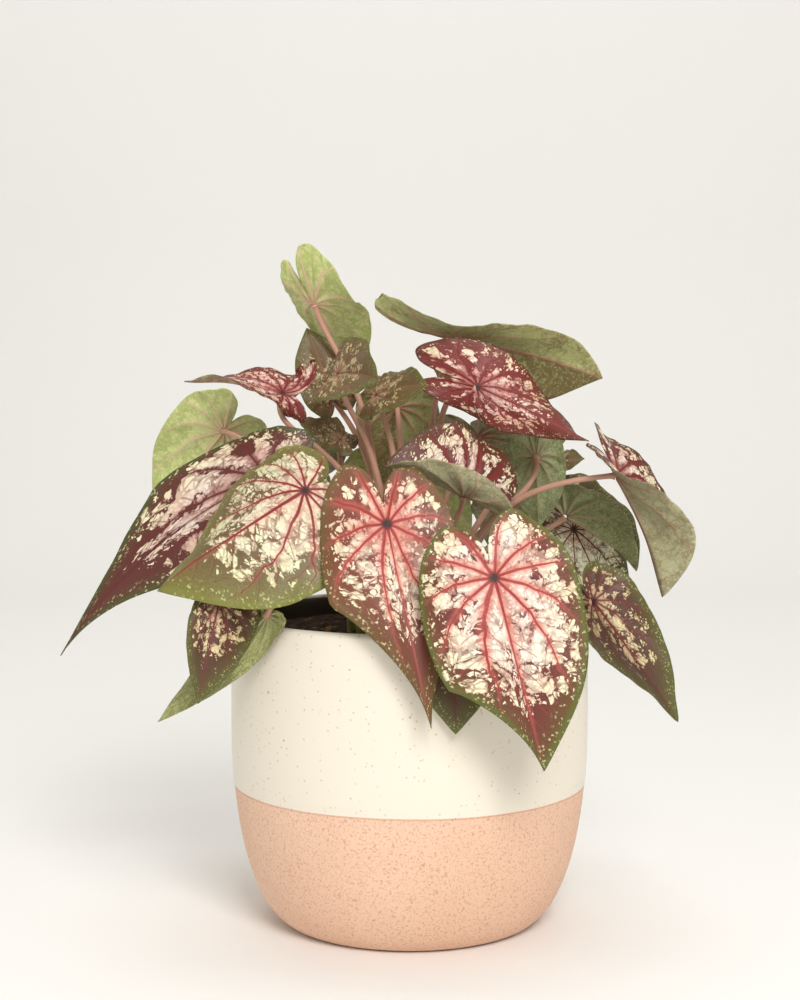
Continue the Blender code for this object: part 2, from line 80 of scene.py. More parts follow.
class Wiring:
    """Short ways to add nodes to one tree.  Each returns the socket that carries on."""

    def __init__(self, tree):
        self.tree = tree

    def node(self, kind, **settings):
        made = self.tree.nodes.new(kind)
        for name, value in settings.items():
            setattr(made, name, value)
        return made

    def put(self, value, socket):
        """A link from another socket, or the socket's own value."""
        if isinstance(value, bpy.types.NodeSocket):
            self.tree.links.new(value, socket)
        elif isinstance(value, tuple) and len(value) == 3 and socket.type == "RGBA":
            socket.default_value = (*value, 1.0)
        else:
            socket.default_value = value

    def fill(self, node, values):
        """Puts each value into the node's input of that name."""
        for name, value in values.items():
            self.put(value, node.inputs[name])
        return node

    def heart_map(self):
        return self.node("ShaderNodeUVMap", uv_map="heart").outputs[0]

    def object_place(self):
        return self.node("ShaderNodeTexCoord").outputs["Object"]

    def attribute(self, name):
        return self.node("ShaderNodeAttribute", attribute_name=name).outputs["Fac"]

    def math(self, operation, first, second=0.0, third=0.0):
        made = self.node("ShaderNodeMath", operation=operation)
        for value, socket in zip((first, second, third), made.inputs):
            self.put(value, socket)
        return made.outputs[0]

    def times(self, first, second):
        return self.math("MULTIPLY", first, second)

    def plus(self, first, second):
        return self.math("ADD", first, second)

    def minus(self, first, second):
        return self.math("SUBTRACT", first, second)

    def times_plus(self, first, factor, extra):
        """`first` times `factor`, and then `extra` more."""
        return self.math("MULTIPLY_ADD", first, factor, extra)

    def vector(self, operation, first, second=(0.0, 0.0, 0.0)):
        made = self.node("ShaderNodeVectorMath", operation=operation)
        self.put(first, made.inputs[0])
        self.put(second, made.inputs[1])
        return made.outputs["Value" if operation == "LENGTH" else "Vector"]

    def scaled(self, value, factor):
        made = self.node("ShaderNodeVectorMath", operation="SCALE")
        self.put(value, made.inputs[0])
        self.put(factor, made.inputs["Scale"])
        return made.outputs[0]

    def join(self, x, y, z=0.0):
        made = self.node("ShaderNodeCombineXYZ")
        for value, socket in zip((x, y, z), made.inputs):
            self.put(value, socket)
        return made.outputs[0]

    def split(self, value):
        made = self.node("ShaderNodeSeparateXYZ")
        self.put(value, made.inputs[0])
        return made.outputs

    def blend(self, share, first, second, how="MIX"):
        made = self.node("ShaderNodeMix", data_type="RGBA", blend_type=how)
        for value, index in ((share, 0), (first, 6), (second, 7)):
            self.put(value, made.inputs[index])
        return made.outputs[2]

    def paint(self, colour, mask, share, coat):
        """Lays `coat` over `colour` where the mask is, at most `share` of it."""
        return self.blend(self.times(mask, share), colour, coat)

    def rise(self, value, low, high):
        """0 below `low`, 1 above `high`, smooth between; it falls where low is above high."""
        start, end = (0.0, 1.0) if low <= high else (1.0, 0.0)
        made = self.node("ShaderNodeMapRange", interpolation_type="SMOOTHSTEP")
        return self.fill(made, {
            "Value": value, "From Min": min(low, high), "From Max": max(low, high),
            "To Min": start, "To Max": end}).outputs["Result"]

    def noise(self, place, scale, detail=3.0, roughness=0.55, distortion=0.0):
        return self.fill(self.node("ShaderNodeTexNoise"), {
            "Vector": place, "Scale": scale, "Detail": detail, "Roughness": roughness,
            "Distortion": distortion}).outputs["Fac"]

    def cloud(self, place, scale):
        """Three unlike noises at once, as a colour."""
        made = self.node("ShaderNodeTexNoise")
        return self.fill(made, {"Vector": place, "Scale": scale}).outputs["Color"]

    def cells(self, place, scale, output="Distance", feature="F1"):
        """Distance from a cell's middle or edge, or a random colour for each cell."""
        made = self.node("ShaderNodeTexVoronoi", feature=feature)
        return self.fill(made, {"Vector": place, "Scale": scale}).outputs[output]

    def pick(self, place, scale, channel):
        """A random number for each cell."""
        return self.split(self.cells(place, scale, "Color"))[channel]

    def bump(self, height, strength, distance):
        return self.fill(self.node("ShaderNodeBump"), {
            "Height": height, "Strength": strength, "Distance": distance}).outputs["Normal"]


def new_group(name, inputs, outputs):
    """A shader node group.  `inputs` gives each input's default by name, a screen colour
    where it has three numbers, and of the `outputs` only "Color" is a colour."""
    group = bpy.data.node_groups.new(name, "ShaderNodeTree")
    for label, value in inputs.items():
        kind = COLOUR if isinstance(value, tuple) else FLOAT
        socket = group.interface.new_socket(label, in_out="INPUT", socket_type=kind)
        socket.default_value = (*screen(*value), 1.0) if kind == COLOUR else value
    for label in outputs:
        kind = COLOUR if label == "Color" else FLOAT
        group.interface.new_socket(label, in_out="OUTPUT", socket_type=kind)
    entry = group.nodes.new("NodeGroupInput")
    leave = group.nodes.new("NodeGroupOutput")
    return group, Wiring(group), entry.outputs, leave


def new_material(name):
    """An empty dielectric finish: its wiring and its shader."""
    material = bpy.data.materials.new(name)
    material.use_nodes = True
    shader = material.node_tree.nodes["Principled BSDF"]
    return material, Wiring(material.node_tree), shader


def use_group(wire, group, values):
    """Places a group in a material and gives it the material's own values."""
    return wire.fill(wire.node("ShaderNodeGroup", node_tree=group), values).outputs


COLOUR = "NodeSocketColor"
FLOAT = "NodeSocketFloat"
ISLAND_CELLS = 12.0
NET_CELLS = 27.0
FLECK_CELLS = 105.0
WARP_CLOUDS = 45.0
SPECK_CELLS = 260.0
FRECKLE_CELLS = 480.0
BARK_CELLS = 330.0
VEIN_BUMP = 0.35


def venation_group():
    """Veins, cells and patches of a blade from its flat heart coordinates.

    In the polar coordinates of the joint, each vein leaves at a multiple of VEIN_ANGLE
    and leans towards the tip by VEIN_LEAN times the squared distance.  Side veins leave
    a vein at a fixed slant.  The islands and the net between them are cells of the flat
    coordinates, warped, drawn out a little along the slant and new beside each vein, and
    the dark dashes near the joint are cells in polar coordinates."""
    group, wire, _, leave = new_group("leaf_venation", {}, (
        "Vein", "Halo", "Side Vein", "Net", "Patch", "Fleck", "Reach", "Tip", "Soft",
        "Joint", "Dash", "Grain", "Bank", "Half"))
    flat = wire.vector("SUBTRACT", wire.heart_map(), (0.5, 0.5, 0.0))
    seed, reach = wire.attribute("seed"), wire.attribute("reach")
    place = wire.vector("ADD", flat, wire.join(0.0, 0.0, seed))
    soft = wire.noise(place, 4.0, 2.0)
    sway = wire.minus(soft, 0.5)
    grain = wire.noise(place, 90.0, 3.0, 0.7)
    along, across, _ = wire.split(flat)
    far = wire.vector("LENGTH", flat)

    # Main veins
    turn = wire.math("ARCTAN2", wire.math("ABSOLUTE", across), along)
    lean = wire.times(wire.times(far, far), VEIN_LEAN)
    bent = wire.plus(turn, wire.times(lean, wire.math("SINE", turn)))
    free = wire.rise(turn, 0.02, 0.3)
    bent = wire.plus(bent, wire.times(wire.times(sway, 0.35), free))
    count = wire.math("DIVIDE", bent, VEIN_ANGLE)
    own = wire.math("ROUND", count)
    off = wire.math("ABSOLUTE", wire.minus(count, own))
    inward = wire.times(off, VEIN_ANGLE)
    gap = wire.times(inward, far)
    width = wire.times_plus(reach, -0.008, 0.0115)
    width = wire.times_plus(wire.rise(own, 0.6, 0.4), 0.003, width)
    thin = wire.math("DIVIDE", gap, width)

    # Side veins and the frayed halo of the main ones
    slant = wire.times_plus(gap, -0.8, wire.times(far, wire.math("COSINE", inward)))
    slant = wire.plus(slant, wire.times(sway, 0.08))
    frayed = wire.join(wire.times(slant, 40.0), wire.times(gap, 30.0), seed)
    frayed = wire.times_plus(wire.noise(frayed, 1.0, 5.0, 0.7), 6.0, thin)
    steps = wire.times_plus(own, 0.37, wire.math("DIVIDE", slant, 0.13))
    part = wire.math("ABSOLUTE", wire.minus(wire.math("FRACT", steps), 0.5))
    side = wire.rise(wire.times_plus(grain, 0.04, part), 0.075, 0.035)

    # Islands and the net between them
    bank = wire.times_plus(own, 3.7, seed)
    warp = wire.vector("SUBTRACT", wire.cloud(place, WARP_CLOUDS), (0.5, 0.5, 0.5))
    warp = wire.scaled(warp, 0.55)
    moved = wire.vector("ADD", warp, wire.join(wire.times(slant, 4.0), 0.0, bank))
    broad = wire.vector("ADD", moved, wire.scaled(flat, ISLAND_CELLS))
    small = wire.vector("ADD", moved, wire.scaled(flat, NET_CELLS))
    edge, thread = (
        wire.cells(spot, 1.0, feature="DISTANCE_TO_EDGE") for spot in (broad, small))
    bold = wire.rise(wire.noise(place, 11.0, 2.0), 0.4, 0.62)
    net = wire.times(wire.rise(edge, 0.13, 0.05), wire.times_plus(bold, 0.6, 0.4))
    threads = wire.times(wire.rise(thread, 0.15, 0.06), wire.times_plus(bold, 0.5, 0.2))
    web = wire.math("MAXIMUM", wire.rise(edge, 0.3, 0.0),
                    wire.times(wire.rise(thread, 0.35, 0.0), 0.7))
    level = wire.times_plus(wire.pick(broad, 1.0, 0), 0.3, -0.04)
    level = wire.times_plus(wire.pick(small, 1.0, 0), 0.2, level)
    level = wire.times_plus(web, 0.3, level)
    level = wire.times_plus(grain, 0.16, level)
    level = wire.times_plus(wire.noise(place, 9.0, 4.0, 0.6, 0.3), 0.6, level)

    # Dark dashes round the joint
    angle = wire.math("ARCTAN2", across, along)
    polar = wire.join(wire.times(angle, 2.6), wire.times(far, 8.0), seed)
    stroke = wire.rise(wire.times_plus(grain, 0.22, wire.cells(polar, 1.0)), 0.42, 0.3)
    picked = wire.rise(wire.pick(polar, 1.0, 2), 0.6, 0.66)
    near = wire.times(wire.rise(far, 0.05, 0.09), wire.rise(far, 0.24, 0.17))
    dash = wire.times(stroke, wire.times(near, picked))

    dotted = wire.vector("ADD", place, wire.scaled(warp, 0.02))
    wire.fill(leave, {
        "Vein": wire.rise(wire.times_plus(grain, 0.5, thin), 1.25, 0.7),
        "Halo": wire.rise(frayed, 8.2, 3.2),
        "Bank": wire.rise(thin, 7.0, 1.0),
        "Side Vein": wire.times(side, wire.rise(far, 0.12, 0.25)),
        "Net": wire.math("MAXIMUM", net, threads),
        "Patch": level,
        "Fleck": wire.pick(dotted, FLECK_CELLS, 1),
        "Half": wire.rise(wire.times_plus(sway, 0.15, across), -0.02, 0.02),
        "Joint": wire.rise(wire.times_plus(grain, 0.02, far), 0.05, 0.022),
        "Dash": wire.times(dash, wire.rise(thin, 1.4, 2.4)),
        "Reach": reach, "Tip": along, "Soft": soft, "Grain": grain})
    return group


def upper_group(venation):
    """Colours of a blade's upper side: a pale lamina, tinted, broken by dark patches that
    win towards the margin and the tip, crossed by haloed veins, and edged with green."""
    group, wire, given, leave = new_group("leaf_upper_side", {
        "Cream": (252, 244, 224), "Blush": (232, 168, 150), "Vein": (150, 36, 42),
        "Halo": (206, 98, 86), "Patch": (104, 44, 36), "Margin": (104, 112, 40),
        "Fleck": (232, 228, 176), "Tip": (124, 40, 38), "Net": (128, 66, 52),
        "Blush Share": 0.7, "Patch Share": 0.0, "Net Share": 0.8, "Halo Share": 0.8,
        "Halo Reach": 1.1, "Tip Start": 0.7, "Rim": 0.96, "Bank Share": 0.12,
        "Green Start": 0.78, "Edge Share": 0.45,
    }, ("Color", "Height", "Roughness"))
    vein = use_group(wire, venation, {})
    reach, grain = vein["Reach"], vein["Grain"]

    # The lamina: cream, blushed in soft clouds, yellower outwards, and netted
    clouds = wire.rise(vein["Soft"], 0.35, 0.7)
    colour = wire.paint(given["Cream"], clouds, given["Blush Share"], given["Blush"])
    colour = wire.paint(colour, wire.rise(reach, 0.4, 0.95), 0.6, given["Fleck"])
    colour = wire.paint(colour, vein["Net"], given["Net Share"], given["Net"])

    # The dark patches: brown, greener outwards, crimson at the tip, and flecked
    past = wire.minus(vein["Tip"], given["Tip Start"])
    tip = wire.times(wire.rise(past, -0.2, 0.25), 0.6)
    edge = wire.times(wire.math("POWER", reach, 6.0), given["Edge Share"])
    near = wire.times(wire.rise(reach, 0.55, 0.0), -0.2)
    level = wire.plus(wire.plus(vein["Patch"], edge), wire.plus(tip, near))
    beside = wire.times(vein["Bank"], wire.rise(reach, 0.1, 0.5))
    level = wire.times_plus(beside, given["Bank Share"], level)
    patch = wire.rise(wire.plus(level, given["Patch Share"]), 0.95, 1.0)
    tint = wire.times_plus(grain, 0.9, wire.minus(reach, given["Green Start"]))
    dusk = wire.blend(wire.rise(tint, 0.4, 0.85), given["Patch"], given["Margin"])
    crimson = wire.times(wire.rise(past, -0.05, 0.3), wire.rise(reach, 0.95, 0.6))
    dusk = wire.blend(crimson, dusk, given["Tip"])
    fleck = wire.times(wire.rise(vein["Fleck"], 0.9, 0.95), wire.rise(reach, 0.82, 0.92))
    fleck = wire.times(fleck, wire.minus(1.0, crimson))
    colour = wire.blend(patch, colour, wire.paint(dusk, fleck, 0.6, given["Fleck"]))

    # The veins: a halo that fades outwards and over patches, side veins, main veins
    fade = wire.rise(wire.minus(given["Halo Reach"], reach), 0.0, 0.5)
    halo = wire.times(wire.times(vein["Halo"], given["Halo Share"]), fade)
    colour = wire.paint(colour, halo, wire.times_plus(patch, -0.45, 1.0), given["Halo"])
    side = wire.times(vein["Side Vein"], wire.rise(reach, 1.0, 0.7))
    colour = wire.paint(colour, side, 0.55, given["Vein"])
    colour = wire.paint(colour, vein["Vein"], wire.rise(reach, 0.98, 0.8), given["Vein"])
    colour = wire.blend(vein["Dash"], colour, screen(74, 32, 28))

    # The green rim, the dark joint and a faint mottle
    ragged = wire.times_plus(vein["Soft"], 0.05, wire.times_plus(grain, 0.05, reach))
    band = wire.rise(wire.minus(ragged, given["Rim"]), 0.02, 0.07)
    green = wire.paint(given["Margin"], fleck, 0.35, given["Fleck"])
    colour = wire.blend(band, colour, green)
    colour = wire.blend(vein["Joint"], colour, screen(58, 30, 24))
    mottle = wire.times(wire.rise(grain, 0.5, 0.7), 0.1)
    dip = wire.times_plus(vein["Side Vein"], 0.4, vein["Vein"])
    dip = wire.times_plus(vein["Net"], 0.5, dip)
    wire.fill(leave, {
        "Color": wire.blend(mottle, colour, given["Net"], "MULTIPLY"),
        "Height": wire.times(dip, -1.0),
        "Roughness": wire.times_plus(vein["Soft"], 0.2, 0.36)})
    return group


def under_group(venation):
    """Colours of a blade's underside: a soft green-grey with raised, paler, pinkish veins
    and faint clouds where the upper side is dark."""
    group, wire, given, leave = new_group("leaf_under_side", {
        "Base": (160, 166, 118), "Cloud": (108, 108, 72), "Vein": (186, 132, 112),
        "Fleck": (214, 210, 160), "Cloud Share": 0.0, "Half Share": 0.0, "Fleck Share": 0.4,
    }, ("Color", "Height", "Roughness"))
    vein = use_group(wire, venation, {})
    level = wire.times_plus(vein["Reach"], 0.35, vein["Patch"])
    level = wire.plus(level, given["Cloud Share"])
    level = wire.times_plus(vein["Half"], given["Half Share"], level)
    colour = wire.paint(given["Base"], wire.rise(level, 0.8, 1.25), 0.8, given["Cloud"])
    fleck = wire.rise(vein["Fleck"], 0.72, 0.85)
    colour = wire.paint(colour, fleck, given["Fleck Share"], given["Fleck"])
    for mask, share, coat in (("Net", 0.3, "Cloud"), ("Side Vein", 0.3, "Vein"),
                              ("Halo", 0.25, "Vein"), ("Vein", 0.9, "Vein")):
        colour = wire.paint(colour, vein[mask], share, given[coat])
    ridge = wire.times_plus(vein["Side Vein"], 0.4, vein["Vein"])
    wire.fill(leave, {
        "Color": colour,
        "Height": wire.times_plus(vein["Net"], 0.3, ridge),
        "Roughness": wire.times_plus(vein["Soft"], 0.15, 0.42)})
    return group


def side_material(name, group, values):
    """A blade finish: one of the two side groups with its own values."""
    material, wire, shader = new_material(name)
    out = use_group(wire, group, values)
    wire.fill(shader, {
        "Base Color": out["Color"], "Roughness": out["Roughness"],
        "Normal": wire.bump(out["Height"], VEIN_BUMP, 0.0006), "Specular IOR Level": 0.4})
    return material


def petiole_material(settings):
    """Dusty pink near the blade, fresh green near the soil, with thin brown streaks."""
    material, wire, shader = new_material("petiole_skin")
    around, up, _ = wire.split(wire.heart_map())
    streaks = wire.join(wire.times(around, 9.0), wire.times(up, 5.0))
    streaks = wire.noise(streaks, 4.0, 4.0)
    low, high = tuple(settings.petiole_low), tuple(settings.petiole_high)
    colour = wire.blend(wire.rise(up, 0.12, 0.55), low, high)
    wire.fill(shader, {
        "Base Color": wire.paint(
            colour, wire.rise(streaks, 0.52, 0.7), 0.4, screen(120, 66, 54)),
        "Normal": wire.bump(streaks, 0.2, 0.0003), "Roughness": 0.42})
    return material


# Leaves

BOSS_RADIUS = 2.0
PETIOLE_TOP_RADIUS = 1.25
PETIOLE_BASE_RADIUS = 2.1
PETIOLE_FOOT = 126.0
PETIOLE_NECK = 148.0
HEART_ANGLES = (0, 6, 16, 31, 52, 75, 100, 130, 155, 170, 180)
HEART_RADII = (1.0, 0.90, 0.78, 0.65, 0.505, 0.42, 0.385, 0.37, 0.36, 0.25, 0.10)
HALF_WIDTH = 0.41
RIM_CROWDING = 0.25
CROWN_PLACE = (0.0, 4.0)
CROWN_RINGS = ((250.0, 13.0, 0.65, 0.17), (195.0, 25.0, 0.5, 0.25), (0.0, 37.0, 0.4, 0.3))
FOOT_SPACE = 6.2
SPREAD_ROUNDS = 200
LOBE_LENGTH = 0.36
RIB_GRID = np.linspace(-0.6, 1.0, 321)
RIB_ZERO = 120
THREE_PLACES = (-0.3, 0.35, 1.0)
RIB_WIDTH = 0.013
STEM_DROP = 0.45
STEM_LEAD = 2.5
STEM_SINK = 0.9
VEIN_ANGLE = 0.56
VEIN_LEAN = 1.5
BLADE_TURNS = 144
BLADE_RINGS = 26
STEM_SIDES = 12
STEM_RINGS = 44


@dataclass
class Leaf:
    """One leaf.  `joint` is where petiole and blade meet, `tip` is the blade's point and
    `face` is the way the upper side looks at mid blade.  Angles bend the blade down,
    away from its upper side, when they are positive in `bend` and `lobes`, and lift its
    two halves when they are positive in `fold` and `curl`.  A pair gives the right half
    and the left half, as seen with the tip down and the face in view, and `fold` and
    `curl` may give each half three values, at the lobes, the middle and the tip.  `look`
    names its finish."""

    name: str
    joint: tuple
    tip: tuple
    face: tuple
    look: str = "heart"
    width: tuple = (1.0, 1.0)
    bend: float = 20.0
    sway: float = 0.0
    fold: tuple = (8.0, 8.0)
    curl: tuple = (-15.0, -15.0)
    lobes: tuple = (15.0, 15.0)
    lobe_size: tuple = (1.0, 1.0)
    tail: tuple = (0.0, 0.0)
    tail_start: float = 0.35
    wave: float = 1.5
    waves: int = 5
    hang: float = 25.0
    rise: float = 0.0
    reach: float = 0.0
    turn: float = -1.0
    foot: tuple = (0.0, 0.0)


LEAVES = (
    Leaf("leaf_front_heart", (36, -108, 180), (57, -120, 98), (-0.05, -1, 0.12),
         tail=(0.0, 0.85), tail_start=0.5, lobes=(20, 10), fold=(4, 4), curl=(-12, -14)),
    Leaf("leaf_middle_heart", (-10.5, -79, 201), (9, -107, 114), (-0.2, -1, 0.3), "middle",
         width=(0.8, 0.85), lobes=(45, 5), lobe_size=(1.1, 1.1), tail=(0.6, 0.98),
         fold=((0, -20, -35), 6), curl=(-20, -12)),
    Leaf("leaf_left_heart", (-48, -62, 215), (-114, -77, 171), (-0.15, -1, 0.35), "left",
         width=(1.33, 1.25), tail=(-0.1, 0.35), lobes=(50, 30), lobe_size=(0.85, 0.85),
         fold=(4, (-12, -30, -50)), curl=(-8, -25)),
    Leaf("leaf_left_tail", (-70, -30, 218), (-168, -20, 133), (-0.2, -1, 0.6), "tail",
         width=(0.6, 0.5), sway=25, tail=(0.95, 0.85), lobe_size=(0.7, 0.7),
         fold=((8, -15, -30), 8)),
    Leaf("leaf_left_green", (-92.5, 20, 240), (-129, 30, 197), (0.2, 1, 0.3), "left",
         width=(1.1, 1.1)),
    Leaf("leaf_left_curl", (-61, -15, 259), (-108, -15, 265), (0, -0.1, 1), "crest",
         fold=((-70, 5, 5), (60, 30, 0)), curl=((-60, 0, 0), -10), lobes=(40, -75),
         lobe_size=(1.2, 2.2), width=(0.6, 0.7), hang=0),
    Leaf("leaf_top_green", (-47, 5, 303), (-27, 45, 268), (0.15, 0.9, 0.4), "left",
         lobe_size=(1.5, 1.9), lobes=(-25, -25), width=(0.6, 0.95), fold=(30, 0), hang=-55,
         reach=0.2),
    Leaf("leaf_left_back", (-39, 15, 259), (-51, 20, 291), (0, -1, 0.3), "olive"),
    Leaf("leaf_top_fold", (-34, -20, 268), (-14, -55, 265), (0, -0.6, 0.8), "olive",
         width=(1.1, 1.1), fold=(60, -20)),
    Leaf("leaf_top_saddle", (-16, -15, 258), (8, -40, 263), (0, -0.6, 0.8), "olive",
         fold=(25, -20)),
    Leaf("leaf_back_left", (-34, 0, 236), (-57, 4, 247), (0, -0.6, 1), "olive"),
    Leaf("leaf_top_long", (24, 5, 285), (94, 0, 266), (0, 0.5, 0.87), "olive",
         tail=(-0.5, -0.5), lobe_size=(0.5, 2.1), lobes=(10, -15), width=(1.0, 0.8),
         fold=((-20, -25, -10), (0, 0, 45)), reach=0.1, turn=45),
    Leaf("leaf_red_crest", (32, -27, 262), (83, -45, 237), (0, -0.5, 1), "crest",
         width=(1, 0.6), bend=5, fold=((50, 5, -40), (-40, -60, -30)), curl=(0, -40),
         lobe_size=(1.7, 1.7), tail=(0.4, 0.2), turn=40, rise=0.9, reach=0.12, hang=40),
    Leaf("leaf_centre_red", (25, -45, 212), (-12, -48, 226), (0.05, -0.8, 0.6), "red",
         width=(1.2, 2.2), fold=(60, 30), curl=(60, -25), lobe_size=(1.9, 1.9)),
    Leaf("leaf_right_green", (62, 2, 228), (64, 6, 193), (0, 1, 0.2), "dark",
         lobe_size=(2.0, 2.0), hang=-30),
    Leaf("leaf_right_tail", (59, 30, 231), (79, 26, 235), (0, -0.7, 0.7), "olive"),
    Leaf("leaf_right_fold", (70, 36, 222), (88, 26, 226), (0, -0.7, 0.7), "olive"),
    Leaf("leaf_right_under", (79, 24, 197), (115, 22, 170), (0.65, -0.1, 0.75), "dark",
         fold=(65, 60), width=(1.4, 1.4)),
    Leaf("leaf_right_white", (84, 38, 189), (106, 34, 138), (0.4, -1, 0.2), "white",
         tail=(0.2, 0.2)),
    Leaf("leaf_right_low", (84, -60, 164), (123, -63, 109), (0.1, -1, 0.2), "dark",
         width=(0.75, 0.75), fold=(0, -60), tail=(0.3, 0.3), lobes=(-20, -30),
         lobe_size=(0.7, 0.7), rise=0.7, reach=0.4),
    Leaf("leaf_right_far", (99, -20, 220), (121, -25, 162), (0.94, 0.15, 0.36), "red",
         width=(1.0, 1.05), tail=(-0.5, -0.5), fold=((35, 60, 75), (-32, 25, 80)), curl=(0, 0),
         lobes=(0, 0), lobe_size=(1.3, 1.0)),
    Leaf("leaf_front_low", (20, -83, 160), (20, -94, 109), (0, -1, 0.1), "dark",
         lobes=(0, 0)),
    Leaf("leaf_left_low_dark", (-86, -76, 166), (-95, -84, 121), (0, -1, 0.2), "dark",
         width=(1.2, 0.6), tail=(0.3, 0.0), fold=(-30, 0)),
    Leaf("leaf_left_low_green", (-65, -66, 158), (-117, -54, 107), (0.6, 0.8, 0), "white",
         width=(0.42, 0.36), lobe_size=(0.3, 0.3), hang=60, rise=0.6),
    Leaf("leaf_back_left_low", (-66, 62, 190), (-104, 100, 132), (-0.6, 0.7, 0.4)),
    Leaf("leaf_back_left_high", (-58, 58, 226), (-90, 100, 182), (-0.4, 0.8, 0.5)),
    Leaf("leaf_back_centre", (-6, 84, 206), (4, 120, 120), (0, 1, 0.4), "left"),
    Leaf("leaf_back_right_high", (36, 66, 236), (60, 112, 190), (0.4, 0.8, 0.5)),
    Leaf("leaf_back_right_low", (60, 70, 188), (90, 108, 126), (0.6, 0.7, 0.4)),
    Leaf("leaf_back_top", (-6, 34, 252), (-4, 50, 202), (0, 1, 0.25), "olive"),
)


def smooth_curve(knots, values, at):
    """A cubic through each (knot, value) pair.  Its slope at a knot is that of the line
    between the knot's neighbours."""
    knots = np.asarray(knots, float)
    values = np.asarray(values, float)
    slopes = np.gradient(values, knots)
    span = np.clip(np.searchsorted(knots, at, side="right") - 1, 0, len(knots) - 2)
    width = knots[span + 1] - knots[span]
    s = (at - knots[span]) / width
    start = (1 + 2 * s) * (1 - s) ** 2 * values[span]
    leave = s * (1 - s) ** 2 * width * slopes[span]
    end = s * s * (3 - 2 * s) * values[span + 1]
    arrive = s * s * (s - 1) * width * slopes[span + 1]
    return start + leave + end + arrive


def heart_radius(theta):
    """Distance of the flat margin from the joint at polar angle theta, over the length."""
    return smooth_curve(HEART_ANGLES, HEART_RADII, np.degrees(np.abs(theta)))


def outline(leaf, theta):
    """The leaf's own margin: the common heart with its widths, tapers and lobes."""
    radius = heart_radius(theta)
    right = np.sin(theta) >= 0.0
    along = radius * np.cos(theta)
    across = radius * np.sin(theta) * np.where(right, leaf.width[0], leaf.width[1])
    taper = np.where(right, leaf.tail[0], leaf.tail[1])
    past = np.clip((along - leaf.tail_start) / (1.0 - leaf.tail_start), 0.0, 1.0)
    narrow = 1.0 - taper * past ** 0.7
    lobe = np.where(right, leaf.lobe_size[0], leaf.lobe_size[1])
    along = np.where(along < 0.0, along * lobe, along)
    return along, across * narrow


def three_way(value, along):
    """A parabola through the values at the lobes, the middle and the tip."""
    if not isinstance(value, tuple):
        return np.full_like(along, value)
    back, middle, front = value
    a, b, c = THREE_PLACES
    return (
        back * (along - b) * (along - c) / ((a - b) * (a - c))
        + middle * (along - a) * (along - c) / ((b - a) * (b - c))
        + front * (along - a) * (along - b) / ((c - a) * (c - b))
    )


def rib_frame(leaf, along, side):
    """Unit vectors along, across and out of the blade at the rib line.  The rib pitches
    and yaws in proportion to `along`, and each lobe pitches on its own."""
    ahead = np.clip(along, 0.0, None)
    behind = np.clip(-along, 0.0, None) / LOBE_LENGTH
    lobe = np.where(side > 0, leaf.lobes[0], leaf.lobes[1])
    pitch = np.radians(leaf.bend * ahead - lobe * behind)
    yaw = np.radians(leaf.sway * ahead)
    forward = np.stack([
        np.cos(pitch) * np.cos(yaw), np.cos(pitch) * np.sin(yaw), -np.sin(pitch)
    ], -1)
    across = np.stack([-np.sin(yaw), np.cos(yaw), np.zeros_like(yaw)], -1)
    return forward, across, np.cross(forward, across)


def rib_points(leaf, along, side):
    """The rib line's places, by adding up short steps along its direction."""
    result = np.zeros((*along.shape, 3))
    for which in (-1.0, 1.0):
        forward, _, _ = rib_frame(leaf, RIB_GRID, np.full_like(RIB_GRID, which))
        step = 0.5 * (forward[1:] + forward[:-1]) * (RIB_GRID[1] - RIB_GRID[0])
        run = np.concatenate([np.zeros((1, 3)), np.cumsum(step, axis=0)])
        run -= run[RIB_ZERO]
        chosen = side == which
        for axis in range(3):
            result[chosen, axis] = np.interp(along[chosen], RIB_GRID, run[:, axis])
    return result


def bent_blade(leaf, along, across):
    """The bent middle surface for flat places (along, across), over the length.  Each
    half is an arc across the rib that starts at the fold angle and turns by the curl."""
    side = np.where(across >= 0.0, 1.0, -1.0)
    centre = rib_points(leaf, along, side)
    _, over, out = rib_frame(leaf, along, side)
    fold = np.where(side > 0, three_way(leaf.fold[0], along), three_way(leaf.fold[1], along))
    curl = np.where(side > 0, three_way(leaf.curl[0], along), three_way(leaf.curl[1], along))
    fold = np.radians(fold)
    curl = np.radians(np.where(np.abs(curl) < 0.1, 0.1, curl))
    reach = np.abs(across) / HALF_WIDTH
    sideways = HALF_WIDTH / curl * (np.sin(fold + curl * reach) - np.sin(fold))
    upward = -HALF_WIDTH / curl * (np.cos(fold + curl * reach) - np.cos(fold))
    return centre + (side * sideways)[..., None] * over + upward[..., None] * out


def square_axes(first, near):
    """Three unit rows: along `first`, across, and the part of `near` square to it."""
    first = first / np.linalg.norm(first)
    third = near - first * (near @ first)
    third = third / np.linalg.norm(third)
    return np.array([first, np.cross(third, first), third])


def placing(leaf):
    """Scale and turn that carry the bent blade to its joint, tip and facing."""
    one = np.ones(1)
    tip = rib_points(leaf, one, one)[0]
    _, _, out = rib_frame(leaf, 0.4 * one, one)
    chord = np.array(leaf.tip, float) - np.array(leaf.joint, float)
    scale = np.linalg.norm(chord) / np.linalg.norm(tip)
    local = square_axes(tip, out[0])
    world = square_axes(chord, np.array(leaf.face, float))
    return scale, world.T @ local


def vein_lines(along, across):
    """For flat heart places: the share of the way from a vein to the midline between two
    veins, 0 to 1, and the distance from the vein over the blade's length."""
    far = np.hypot(along, across)
    turn = np.arctan2(np.abs(across), along)
    count = (turn + VEIN_LEAN * far ** 2 * np.sin(turn)) / VEIN_ANGLE
    off = np.abs(count - np.round(count))
    return 2.0 * off, off * VEIN_ANGLE * far


